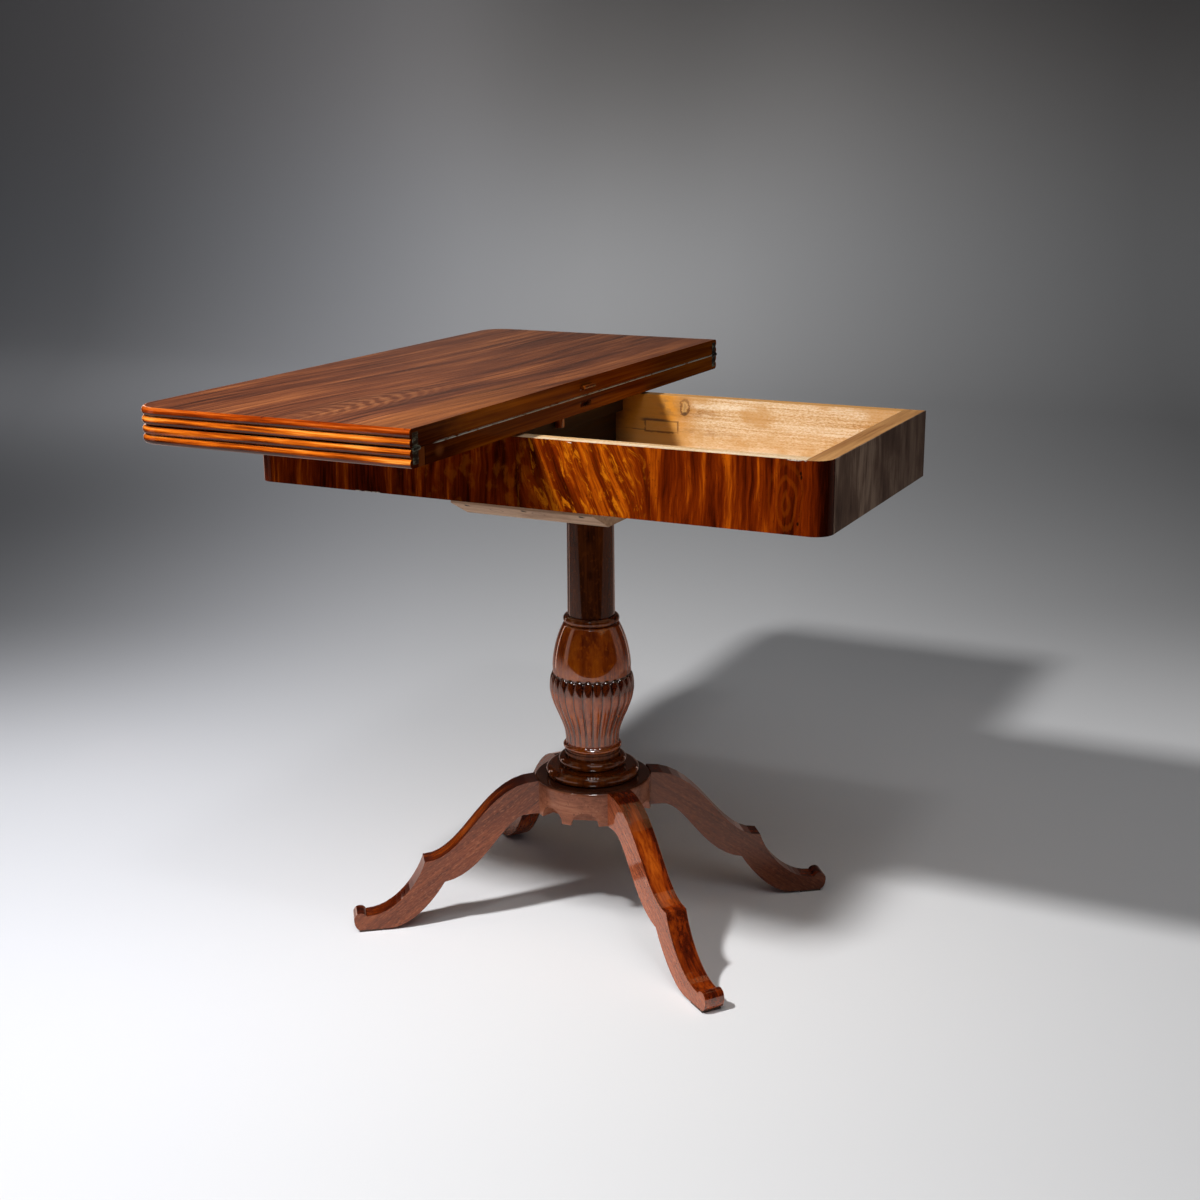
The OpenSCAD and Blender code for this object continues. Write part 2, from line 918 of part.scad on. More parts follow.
module end_veneer() {
    block([frame_x - veneer_t, -frame_y + frame_corner_r, rail_low], [frame_x, frame_y, rail_top]);
}

module right_end_veneer() {
    color(dark_mahogany)
        end_veneer();
}

module left_end_veneer() {
    color(dark_mahogany)
        mirror([1, 0, 0])
            end_veneer();
}

module well_partition() {
    color(pale_wood)
        block([partition_x1 - partition_t, front_in_y, field_low],
              [partition_x1, back_in_y, pivot_rail_low]);
}

// Three-cornered block in a corner of the closed bay, running up from the floor
module corner_block(x, y, sx, sy) {
    translate([x, y, floor_top])
        linear_extrude(pivot_rail_low - floor_top)
            polygon([[0, 0], [sx * glue_block, 0], [0, sy * glue_block]]);
}

module glue_blocks() {
    inner_x = partition_x1 - partition_t;
    color(pale_wood) {
        corner_block(-rail_end_x, front_in_y, 1, 1);
        corner_block(-rail_end_x, back_in_y, 1, -1);
        corner_block(inner_x, front_in_y, -1, 1);
        corner_block(inner_x, back_in_y, -1, -1);
    }
}

// Pads that carry the swung top, set on the rails where the top hides them
module glide_pads() {
    pad_h = top_gap - end_play;
    color(leather_tone) {
        for (y = [-frame_y + veneer_t + front_rail_t / 2, frame_y - back_rail_t / 2])
            translate([-frame_x + glide_in - glide_l / 2, y - glide_w / 2, rail_top])
                cube([glide_l, glide_w, pad_h]);
        translate([-rail_end_x - end_rail_t / 2 - glide_w / 2, -glide_l / 2, rail_top])
            cube([glide_w, glide_l, pad_h]);
    }
}

// Bearer under the frame, bevelled at front and back
module bearer_board() {
    y1 = frame_y - bearer_short;
    y0 = y1 - bearer_bevel_l;
    color(pale_wood)
        difference() {
            translate([-bearer_w / 2, 0, 0])
                rotate([90, 0, 90])
                    linear_extrude(bearer_w)
                        polygon([[-y1, rail_low], [-y1, rail_low - bearer_edge_t], [-y0, bearer_low],
                                 [y0, bearer_low], [y1, rail_low - bearer_edge_t], [y1, rail_low]]);
            rod(top_tenon_r + fit, bearer_low - cut, rail_low + cut);
            bearer_screw_shanks();
            bearer_screw_places()
                rod(bearer_head_r + fit, bearer_low - cut, bearer_head_z);
        }
}

module bearer_screws() {
    color(iron_tone)
        bearer_screw_places() {
            rod(big_screw_r, bearer_head_z - cut, bearer_head_z + bearer_screw_l);
            rod(bearer_head_r, bearer_head_z - bearer_head_h, bearer_head_z);
        }
}

// Wedge driven into the end of a tenon, thick end at z = 0 and thin end below
module wedge(r) {
    rotate([90, 0, 0])
        translate([0, 0, -r])
            linear_extrude(2 * r)
                polygon([[-wedge_wide / 2, 0], [wedge_wide / 2, 0],
                         [wedge_thin / 2, -wedge_l], [-wedge_thin / 2, -wedge_l]]);
}

// Lower end of the vase's spigot, and the wedges' half lengths
spigot_low = hub_top - hub_crown_t - 4;
top_wedge_r = top_tenon_r - 4;
low_wedge_r = spigot_r - 4;

module top_wedge() {
    translate([0, 0, rail_low])
        wedge(top_wedge_r);
}

module low_wedge() {
    translate([0, 0, spigot_low])
        mirror([0, 0, 1])
            wedge(low_wedge_r);
}

module tenon_wedges() {
    color(brown_wood) {
        top_wedge();
        low_wedge();
    }
}

module column_shaft() {
    color(dark_mahogany)
        difference() {
            union() {
                translate([0, 0, collar_top])
                    cylinder(r1 = shaft_r_low, r2 = shaft_r_top, h = bearer_low - collar_top);
                rod(top_tenon_r, bearer_low - cut, rail_low);
                rod(shaft_spigot_r, vase_top - shaft_spigot_l, collar_top + cut);
            }
            top_wedge();
        }
}

module column_collar() {
    r = collar_h / 2;
    color(dark_mahogany)
        rotate_extrude()
            polygon(concat([[shaft_spigot_r + fit, vase_top]],
                           nose(collar_r - r, vase_top + r, r),
                           [[shaft_spigot_r + fit, collar_top]]));
}

// Outline of the lobed part of the vase, from its foot to its upper edge
lobe_foot = base_top + ring_h;
lobe_top = lobe_foot + lobe_h;
lobe_belly = lobe_top - 21;
lobe_lip_r = egg_r + 0.4;

function lobe_outline() = concat(
    bend([vase_foot_r, lobe_foot], [vase_foot_r - 2.5, lobe_foot + 30],
         [lobe_r, lobe_belly - 27], [lobe_r, lobe_belly]),
    bend([lobe_r, lobe_belly], [lobe_r, lobe_belly + 11],
         [lobe_r - 1.2, lobe_top - 2], [lobe_lip_r, lobe_top], 1));

// Smooth egg above the lobes, drawn in to the collar
function egg_outline() =
    bend([egg_r, lobe_top], [egg_r + 2, lobe_top + 24],
         [collar_r + 9, vase_top - 17], [collar_r - 0.5, vase_top]);

module column_vase() {
    ring_nose = ring_h / 2;
    color(dark_mahogany)
        difference() {
            union() {
                rotate_extrude()
                    polygon(concat([[0, base_top]],
                                   nose(ring_r - ring_nose, base_top + ring_nose, ring_nose),
                                   lobe_outline(), egg_outline(), [[0, vase_top]]));
                rod(spigot_r, spigot_low, base_top + cut);
            }
            rod(shaft_spigot_r + fit, vase_top - shaft_spigot_l - cut, vase_top + cut);
            low_wedge();
            for (i = [0 : lobe_n - 1])
                rotate([0, 0, (i + 0.5) * 360 / lobe_n])
                    lobe_quirk();
        }
}

// One quirk between two lobes, cut to an even depth along the outline
module lobe_quirk() {
    edge = lobe_outline();
    last = len(edge) - 1;
    run = concat([(edge[0] + edge[1]) / 2], [for (i = [1 : last - 1]) edge[i]],
                 [(edge[last - 1] + edge[last]) / 2]);
    inner = [for (p = run) [p[0] - lobe_quirk_d, p[1]]];
    outer = [for (i = [last : -1 : 0]) [run[i][0] + 3 * cut, run[i][1]]];
    rotate([90, 0, 0])
        translate([0, 0, -lobe_quirk_w / 2])
            linear_extrude(lobe_quirk_w)
                polygon(concat(inner, outer));
}

// Turned base moulding: large torus, small torus and two fillets
module base_moulding() {
    torus_n = torus_h / 2;
    bead_n = bead_h / 2;
    bead_low = hub_top + torus_h + 1;
    bead_top = bead_low + bead_h;
    step_r = bead_r - 3.5;
    fillet_r = vase_foot_r + 1.5;
    hollow_r = fillet_r - 1.2;
    fillet_h = (base_top - bead_top) / 3;
    color(dark_mahogany)
        difference() {
            rotate_extrude()
                polygon(concat([[0, hub_top]],
                               nose(torus_r - torus_n, hub_top + torus_n, torus_n),
                               [[step_r, hub_top + torus_h], [step_r, bead_low]],
                               nose(bead_r - bead_n, bead_low + bead_n, bead_n),
                               [[hollow_r, bead_top], [hollow_r, bead_top + fillet_h],
                                [fillet_r, bead_top + fillet_h], [fillet_r, bead_top + 2 * fillet_h],
                                [hollow_r, bead_top + 2 * fillet_h], [hollow_r, base_top - 1],
                                [fillet_r, base_top - 1], [fillet_r, base_top], [0, base_top]]));
            rod(spigot_r + fit, hub_top - cut, base_top + cut);
        }
}

// Dovetail of a leg that points along +X
module dovetail(z1) {
    x0 = hub_r - dovetail_d;
    x1 = hub_r + 2;
    translate([0, 0, hub_low])
        linear_extrude(z1 - hub_low)
            polygon([[x0, -dovetail_root / 2], [x1, -dovetail_neck / 2],
                     [x1, dovetail_neck / 2], [x0, dovetail_root / 2]]);
}

// Scallop in the hub's lower edge, cut from outside along +X
module scallop() {
    translate([hub_r - scallop_d, 0, hub_low])
        rotate([0, 90, 0])
            cylinder(r = scallop_r, h = scallop_d + 4);
}

module hub() {
    color(mahogany)
        difference() {
            rotate_extrude() {
                translate([0, hub_low])
                    square([hub_r, hub_h - hub_edge_r]);
                translate([0, hub_low])
                    square([hub_r - hub_edge_r, hub_h]);
                translate([hub_r - hub_edge_r, hub_top - hub_edge_r])
                    circle(r = hub_edge_r);
            }
            rod(hub_recess_r, hub_low - cut, hub_top - hub_crown_t);
            rod(spigot_r + fit, hub_low, hub_top + cut);
            for (a = leg_angles)
                rotate([0, 0, a])
                    dovetail(hub_low + dovetail_h);
            for (a = [0, 180, 90 - scallop_spread, 90 + scallop_spread,
                      270 - scallop_spread, 270 + scallop_spread])
                rotate([0, 0, a])
                    scallop();
        }
}

// Side view of a leg: x is outwards from the pillar's axis, y is up.
// Each curve takes its fullness as a share of the length or the drop that it spans
module leg_side() {
    z0 = foot_pad_t;
    root_x = hub_r - hub_r / 8;
    flat_x = hub_r + leg_flat;
    scroll_x = leg_reach - scroll_r;
    scroll_z = toe_hollow_z - scroll_r + scroll_rise;
    hollow_x = scroll_x - scroll_r;
    foot_x1 = leg_reach - foot_flat_out;
    foot_x0 = leg_reach - foot_flat_in;
    shin = knee_out - hub_r;
    instep = hollow_x - knee_out;
    instep_drop = knee_z - toe_hollow_z;
    sole = foot_x0 - under_knee_out;
    calf = under_knee_out - flat_x;
    polygon(concat(
        [[root_x, hub_top]],
        bend([hub_r, hub_top], [hub_r + 0.475 * shin, hub_top],
             [knee_out - 0.36 * shin, knee_z], [knee_out, knee_z]),
        bend([knee_out + 1, knee_z], [knee_out + 0.1 * instep, knee_z - 0.34 * instep_drop],
             [knee_out + 0.49 * instep, toe_hollow_z], [hollow_x, toe_hollow_z]),
        [[scroll_x, scroll_z]],
        bend([leg_reach, scroll_z], [leg_reach, scroll_z - 0.97 * scroll_r],
             [leg_reach - 0.43 * foot_flat_out, z0 + 0.2 * scroll_r], [foot_x1, z0]),
        bend([foot_x0, z0], [foot_x0 - 0.32 * sole, z0],
             [under_knee_out + 0.285 * sole, under_knee_z - 0.565 * (under_knee_z - z0)],
             [under_knee_out, under_knee_z]),
        bend([under_knee_out, under_knee_z],
             [under_knee_out - 0.506 * calf, under_knee_z + 0.11 * (hub_low - under_knee_z)],
             [flat_x + 0.292 * calf, hub_low], [flat_x, hub_low], 1),
        [[root_x, hub_low]]));
    translate([scroll_x, scroll_z])
        circle(r = scroll_r);
}

// Tapered plan of a leg, wide enough in height to hold the whole of it
module leg_plan() {
    x0 = hub_r - 12;
    x1 = leg_reach + 2;
    translate([0, 0, -cut])
        linear_extrude(hub_top + 2 * cut)
            polygon([[x0, -leg_root_w / 2], [x1, -leg_toe_w / 2],
                     [x1, leg_toe_w / 2], [x0, leg_root_w / 2]]);
}

// Leg that points along +X
module leg() {
    difference() {
        intersection() {
            rotate([90, 0, 0])
                translate([0, 0, -leg_root_w])
                    linear_extrude(2 * leg_root_w)
                        leg_side();
            leg_plan();
        }
        rod(hub_r + fit, hub_low - cut, hub_top + cut);
        brace_screw_place()
            wood_screw_hole(big_screw_r, brace_screw_l);
    }
    dovetail(hub_low + dovetail_h);
}

module leg_front_left() {
    color(mahogany)
        rotate([0, 0, leg_angles[0]])
            leg();
}

module leg_front_right() {
    color(mahogany)
        rotate([0, 0, leg_angles[1]])
            leg();
}

module leg_back_left() {
    color(mahogany)
        rotate([0, 0, leg_angles[2]])
            leg();
}

module leg_back_right() {
    color(mahogany)
        rotate([0, 0, leg_angles[3]])
            leg();
}

module foot_pads() {
    x1 = leg_reach - foot_flat_out;
    color(leather_tone)
        for (a = leg_angles)
            rotate([0, 0, a])
                translate([x1 - foot_pad_l, -leg_toe_w / 2 + foot_pad_in, 0])
                    cube([foot_pad_l, leg_toe_w - 2 * foot_pad_in, foot_pad_t]);
}

// Place of a brace screw for a leg that points along +X, head flush with the brace's underside
module brace_screw_place() {
    translate([hub_r + brace_screw_out, 0, hub_low - brace_t])
        mirror([0, 0, 1])
            children();
}

module leg_brace() {
    arm = hub_r + leg_flat - 2;
    color(iron_tone)
        difference() {
            union() {
                rod(brace_r, hub_low - brace_t, hub_low);
                for (a = leg_angles)
                    rotate([0, 0, a])
                        translate([0, -brace_w / 2, hub_low - brace_t])
                            cube([arm, brace_w, brace_t]);
            }
            for (a = leg_angles)
                rotate([0, 0, a])
                    brace_screw_place()
                        wood_screw_hole(big_screw_r, brace_screw_l);
        }
}

module brace_screws() {
    color(iron_tone)
        for (a = leg_angles)
            rotate([0, 0, a])
                brace_screw_place()
                    wood_screw(big_screw_r, brace_screw_l);
}

foot_pads();
leg_front_left();
leg_front_right();
leg_back_left();
leg_back_right();
hub();
leg_brace();
brace_screws();
base_moulding();
column_vase();
column_collar();
column_shaft();
tenon_wedges();
bearer_board();
bearer_screws();
front_rail();
back_rail();
left_end_rail();
right_end_rail();
front_veneer();
left_end_veneer();
right_end_veneer();
pivot_rail();
well_partition();
well_floor();
glue_blocks();
repair_patch();
glide_pads();
pivot_bush();
lower_leaf_board();
lower_leaf_lipping();
pivot_plate();
pivot_plate_screws();
pivot_bolt();
pivot_collar();
pivot_washer();
pivot_nut();
stop_peg();
lower_hinge_straps();
lower_hinge_screws();
hinge_pins();
upper_leaf_board();
upper_leaf_lipping();
leaf_tongue();
upper_hinge_straps();
upper_hinge_screws();
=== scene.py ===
"""Looks of the games table: finishes for each part, a lobed vase, floor, light and camera."""
import math

import bmesh
import bpy
from mathutils import Matrix, Vector


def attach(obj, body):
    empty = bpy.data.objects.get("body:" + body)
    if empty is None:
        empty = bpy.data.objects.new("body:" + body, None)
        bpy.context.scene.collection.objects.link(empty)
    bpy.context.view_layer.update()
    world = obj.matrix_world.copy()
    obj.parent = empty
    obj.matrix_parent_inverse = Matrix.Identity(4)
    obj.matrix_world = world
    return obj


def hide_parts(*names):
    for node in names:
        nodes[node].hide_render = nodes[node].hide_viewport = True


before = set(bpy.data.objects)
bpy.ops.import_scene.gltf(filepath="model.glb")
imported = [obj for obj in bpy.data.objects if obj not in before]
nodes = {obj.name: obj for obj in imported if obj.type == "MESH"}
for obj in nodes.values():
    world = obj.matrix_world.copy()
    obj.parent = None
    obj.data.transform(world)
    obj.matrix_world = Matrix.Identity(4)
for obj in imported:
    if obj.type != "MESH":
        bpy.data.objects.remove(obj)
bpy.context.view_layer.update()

MM = 0.001

# Places on the table, in metres
LEAF_X, LEAF_Y, LEAF_CORNER = -0.393, 0.4285, 0.040     # far edges and corner radius of a leaf
LEAF_LOW, LEAF_STEP = 0.7062, 0.0223                    # underside of the folded top, leaf to leaf
JOINT_Z = 0.7277                                        # the line where the folded leaves meet
REED_IN, REED_PITCH = 0.0346, 0.01075                   # start of the reeds, and their spacing
TOP_FACE = (0.7480, 0.7495)                             # heights between which the top face begins
CURL_AT, CURL_LEAN = (-0.150, -0.29), -0.09             # a point of the curl's line, its slant
CURL_MIDDLE, CURL_SIZE = -0.285, (0.030, 0.105)
BLOCK_Y, BLOCK_JOINT_Y = -0.4065, -0.3992               # the block let in beside the hinge
SMUDGE_AT, SMUDGE_SIZE = (-0.3690, 0.7175), (0.0075, 0.0050)   # on the hinged edge, y and z
SLOT_Y, SLOT_LIP_Z = -0.009, 0.7362                     # the tongue's slot
FLAME_X, EYE_AT, EYE_SIZE = 0.085, (0.343, 0.650), (0.019, 0.042)
PIN_KNOTS = ((0.3605, 0.688), (0.3612, 0.6835), (0.358, 0.630))
EDGE_CHIPS = ((0.343, 0.368, 0.7026), (0.065, 0.074, 0.7014), (-0.24, -0.20, 0.6168))
RAIL_INNER = (0.1738, 0.1748)                           # the back rail's face towards the well
PATCH_LOW, PATCH_HIGH = (0.0, 0.652), (0.049, 0.667)    # the repair patch, x and z
KNOT_AT, KNOT_SIZE, KNOT_FOOT = (0.0590, 0.6885), (0.0068, 0.0100), (0.0597, 0.6795)
WELL_STAINS = (((0.034, 0.6900), (0.012, 0.009), 0.9), ((0.076, 0.680), (0.024, 0.006), 0.8),
               ((0.012, 0.668), (0.016, 0.0035), 0.9), ((0.085, 0.655), (0.05, 0.004), 0.5),
               ((0.040, 0.679), (0.030, 0.004), 0.6))
BEARER_OVALS, BEARER_OVAL_SIZE = ((-0.043, -0.172), (0.018, -0.176)), (0.0085, 0.0060)
HUB_TOP = (0.2014, 0.2024)                              # heights between which its top begins
LEG_TURN, LEG_SLOPE = math.radians(37), math.radians(36)   # off the long side; fall of the grain
LEG_TIP = 0.336                                         # how far out the toes reach

# The vase, in millimetres
LOBES = 26
VASE_LOW, LOBE_FOOT, LOBE_BELLY, LOBE_TOP, VASE_TOP = 243.0, 249.5, 329.5, 350.5, 420.0
RING_R, FOOT_R, LOBE_R, EGG_R, NECK_R = 40.0, 36.5, 57.4, 52.8, 37.5
LOBE_DEPTH, LOBE_ARCH = 3.3, 5.5


# ---------------------------------------------------------------- finishes

class Finish:
    """One surface finish, with short calls for the nodes that every finish is built from."""

    def __init__(self, name):
        self.material = bpy.data.materials.new(name)
        self.material.use_nodes = True
        self.tree = self.material.node_tree
        self.tree.nodes.clear()
        self.place = self.add("ShaderNodeTexCoord").outputs["Object"]

    def add(self, kind, **settings):
        made = self.tree.nodes.new(kind)
        for key, value in settings.items():
            setattr(made, key, value)
        return made

    def feed(self, socket, value):
        """Links a socket to another one, or sets it to a number or colour."""
        if isinstance(value, bpy.types.NodeSocket):
            self.tree.links.new(value, socket)
        elif value is not None:
            if socket.type == "RGBA" and len(value) == 3:
                value = (*value, 1)
            socket.default_value = value

    def math(self, operation, a, b=None):
        made = self.add("ShaderNodeMath", operation=operation)
        for socket, value in zip(made.inputs, (a, b)):
            self.feed(socket, value)
        return made.outputs[0]

    def times(self, a, b):
        return self.math("MULTIPLY", a, b)

    def plus(self, a, b):
        return self.math("ADD", a, b)

    def minus(self, a, b):
        return self.math("SUBTRACT", a, b)

    def over(self, a, b):
        return self.math("DIVIDE", a, b)

    def larger(self, a, b):
        return self.math("MAXIMUM", a, b)

    def split(self, vector=None):
        made = self.add("ShaderNodeSeparateXYZ")
        self.feed(made.inputs[0], vector or self.place)
        return made.outputs

    def join(self, x, y, z):
        made = self.add("ShaderNodeCombineXYZ")
        for socket, value in zip(made.inputs, (x, y, z)):
            self.feed(socket, value)
        return made.outputs[0]

    def mapped(self, vector, scale=(1, 1, 1), turn=(0, 0, 0)):
        made = self.add("ShaderNodeMapping")
        self.feed(made.inputs["Vector"], vector)
        self.feed(made.inputs["Rotation"], turn)
        self.feed(made.inputs["Scale"], scale)
        return made.outputs[0]

    def shifted(self, vector, amount, by):
        """The vector moved by a share of a noise value along the given direction."""
        made = self.add("ShaderNodeVectorMath", operation="MULTIPLY_ADD")
        self.feed(made.inputs[0], self.join(amount, amount, amount))
        self.feed(made.inputs[1], by)
        self.feed(made.inputs[2], vector)
        return made.outputs[0]

    def noise(self, vector, detail, rough=0.55, warp=0.0):
        made = self.add("ShaderNodeTexNoise")
        self.feed(made.inputs["Vector"], vector)
        self.feed(made.inputs["Scale"], 1.0)
        self.feed(made.inputs["Detail"], detail)
        self.feed(made.inputs["Roughness"], rough)
        self.feed(made.inputs["Distortion"], warp)
        return made.outputs[0]

    def span(self, value, low, high, to_low=0.0, to_high=1.0, smooth=True):
        """The value carried from one range of numbers onto another, held at both ends."""
        made = self.add("ShaderNodeMapRange")
        made.interpolation_type = "SMOOTHSTEP" if smooth else "LINEAR"
        for socket, item in zip(made.inputs, (value, low, high, to_low, to_high)):
            self.feed(socket, item)
        return made.outputs[0]

    def near(self, value, centre, half, soft):
        """1 within half of the centre, falling to 0 over soft beyond it."""
        away = self.math("ABSOLUTE", self.minus(value, centre))
        return self.span(away, half, half + soft, 1.0, 0.0)

    def length(self, u, v):
        return self.math("SQRT", self.plus(self.times(u, u), self.times(v, v)))

    def oval(self, where, centre, size):
        """0 at the centre of an oval on two coordinates, 1 on its edge and more beyond it."""
        return self.length(*(self.over(self.minus(value, middle), half)
                             for value, middle, half in zip(where, centre, size)))

    def spot(self, where, centre, size, soft=0.35):
        """1 inside an oval on two coordinates, fading at its edge."""
        return self.span(self.oval(where, centre, size), 1 - soft, 1 + soft, 1.0, 0.0)

    def ramp(self, value, *stops):
        made = self.add("ShaderNodeValToRGB")
        self.feed(made.inputs[0], value)
        ramp = made.color_ramp
        while len(ramp.elements) < len(stops):
            ramp.elements.new(0.5)
        for element, (position, colour) in zip(ramp.elements, stops):
            element.position = position
            element.color = (*colour, 1)
        return made.outputs[0]

    def blend(self, mask, a, b, how="MIX"):
        made = self.add("ShaderNodeMix", data_type="RGBA", blend_type=how)
        self.feed(made.inputs[0], mask)
        self.feed(made.inputs[6], a)
        self.feed(made.inputs[7], b)
        return made.outputs[2]

    def tinted(self, colour, tint):
        return self.blend(1.0, colour, tint, "MULTIPLY")

    def bump(self, height, depth, strength, normal=None):
        made = self.add("ShaderNodeBump")
        self.feed(made.inputs["Strength"], strength)
        self.feed(made.inputs["Distance"], depth)
        self.feed(made.inputs["Height"], height)
        self.feed(made.inputs["Normal"], normal)
        return made.outputs[0]

    def eased(self, radius):
        """Normals softened over the sharp edges, as sanding leaves them."""
        made = self.add("ShaderNodeBevel", samples=4)
        self.feed(made.inputs["Radius"], radius)
        return made.outputs[0]

    def surface(self, colour, roughness, normal=None, coat=0.0, coat_rough=0.08,
                specular=0.5, coat_ior=1.5):
        made = self.add("ShaderNodeBsdfPrincipled")
        self.feed(made.inputs["Base Color"], colour)
        self.feed(made.inputs["Roughness"], roughness)
        self.feed(made.inputs["Specular IOR Level"], specular)
        self.feed(made.inputs["Coat Weight"], coat)
        self.feed(made.inputs["Coat Roughness"], coat_rough)
        self.feed(made.inputs["Coat IOR"], coat_ior)
        self.feed(made.inputs["Normal"], normal)
        end = self.add("ShaderNodeOutputMaterial")
        self.tree.links.new(made.outputs[0], end.inputs[0])
        return self.material

    def grain_place(self, way, turn=0.0):
        """Coordinates with the grain along the third one."""
        vector = self.mapped(self.place, turn=(0, 0, -turn)) if turn else self.place
        x, y, z = self.split(vector)
        return {"x": self.join(y, z, x), "y": self.join(x, z, y), "z": self.join(x, y, z)}[way]


def tone(value, factor):
    """A colour made lighter or darker."""
    return tuple(min(1.0, v * factor) for v in value)


def wood_layers(f, grain, wander=0.012, bands=26.0, streaks=150.0, run=0.055):
    """Broad bands, fine streaks and pores that follow the grain."""
    sway = f.noise(f.mapped(grain, scale=(5, 5, 1.6)), detail=2)
    swayed = f.shifted(grain, sway, (wander, wander, 0))
    broad = f.noise(f.mapped(swayed, scale=(bands, bands, bands * run)), detail=4, warp=0.35)
    fine = f.noise(f.mapped(swayed, scale=(streaks, streaks, streaks * run * 0.6)),
                   detail=5, rough=0.62)
    pores = f.noise(f.mapped(swayed, scale=(1500, 1500, 55)), detail=2, rough=0.5)
    return broad, fine, f.span(pores, 0.60, 0.70)


def mix_layers(f, broad, fine, fine_share):
    return f.plus(f.times(broad, 1 - fine_share), f.times(fine, fine_share))


def plain_finish(name, dark, middle, light, roughness, specular=0.5, **layers):
    """Three tones streaked along y, for plain wood, leather and aged metal."""
    f = Finish(name)
    broad, fine, pores = wood_layers(f, f.grain_place("y"), **layers)
    colour = f.ramp(mix_layers(f, broad, fine, 0.45), (0.36, dark), (0.5, middle), (0.64, light))
    colour = f.blend(f.times(pores, 0.35), colour, tone(dark, 0.45))
    rough = f.span(fine, 0.3, 0.7, roughness * 0.85, roughness * 1.2)
    normal = f.bump(pores, -0.00005, 0.35, f.eased(0.0006))
    return f.surface(colour, rough, normal, specular=specular)


def dress(material, *names):
    """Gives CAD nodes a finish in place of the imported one."""
    for name in names:
        mesh = nodes[name].data
        mesh.materials.clear()
        mesh.materials.append(material)


# ---------------------------------------------------------------- the two leaves

def curled(f, colour, fine):
    """Soft crescents that cross the grain on the top face, in a band that fades at both ends."""
    x, y, z = f.split()
    off_band = f.plus(f.plus(x, -CURL_AT[0]), f.times(f.plus(y, -CURL_AT[1]), CURL_LEAN))
    drift = f.noise(f.mapped(f.place, scale=(60, 22, 1)), detail=3, warp=0.5)
    bow = f.plus(f.times(f.times(off_band, off_band), 9000), f.times(off_band, 90))
    ripple = f.math("SINE", f.plus(f.plus(f.times(y, 260), bow), f.times(drift, 9)))
    band = f.spot((off_band, y), (0.0, CURL_MIDDLE), CURL_SIZE, 0.85)
    band = f.times(band, f.times(f.span(fine, 0.30, 0.62, 0.5, 1.0), f.span(z, *TOP_FACE)))
    crests = f.times(f.times(f.span(ripple, -0.3, 1.0), band), 0.56)
    colour = f.blend(crests, colour, (0.42, 0.160, 0.058))
    hollows = f.times(f.times(f.span(ripple, 0.2, -1.0), band), 0.46)
    return f.blend(hollows, colour, (0.045, 0.013, 0.007))


def leaf_face_colour(f):
    """The leaves' faces: bowed streaks, some curl, one dark line and a glow by the hinged edge."""
    x, y, z = f.split()
    across = f.plus(x, f.span(y, -0.45, 0.12, 0.050, 0.0))
    broad, fine, pores = wood_layers(f, f.join(across, z, y), wander=0.03, bands=30,
                                     streaks=170, run=0.05)
    colour = f.ramp(mix_layers(f, broad, fine, 0.55),
                    (0.38, (0.030, 0.009, 0.005)), (0.45, (0.110, 0.028, 0.011)),
                    (0.53, (0.205, 0.055, 0.018)), (0.63, (0.42, 0.135, 0.040)))
    colour = curled(f, colour, fine)
    waver = f.noise(f.join(0, 0, f.times(y, 9)), detail=3)
    line = f.near(f.plus(x, f.times(waver, 0.006)), -0.101, 0.0006, 0.0022)
    line = f.times(line, f.times(f.span(y, -0.37, -0.27), f.span(y, 0.02, -0.12)))
    colour = f.blend(f.times(line, 0.75), colour, (0.03, 0.010, 0.005))
    glow = f.times(f.near(x, -0.035, 0.02, 0.03), f.span(y, 0.0, -0.25))
    colour = f.blend(f.times(f.times(glow, fine), 0.7), colour, (0.40, 0.125, 0.022))
    colour = f.blend(f.times(pores, 0.4), colour, (0.03, 0.008, 0.003))
    return colour, fine, pores


def on_hinged_edge(f):
    """1 on the leaves' hinged edges, and the thin coat of polish that is left there."""
    edge = f.span(f.split()[0], -0.0016, -0.0008)
    return edge, f.plus(1.0, f.times(edge, -0.92))


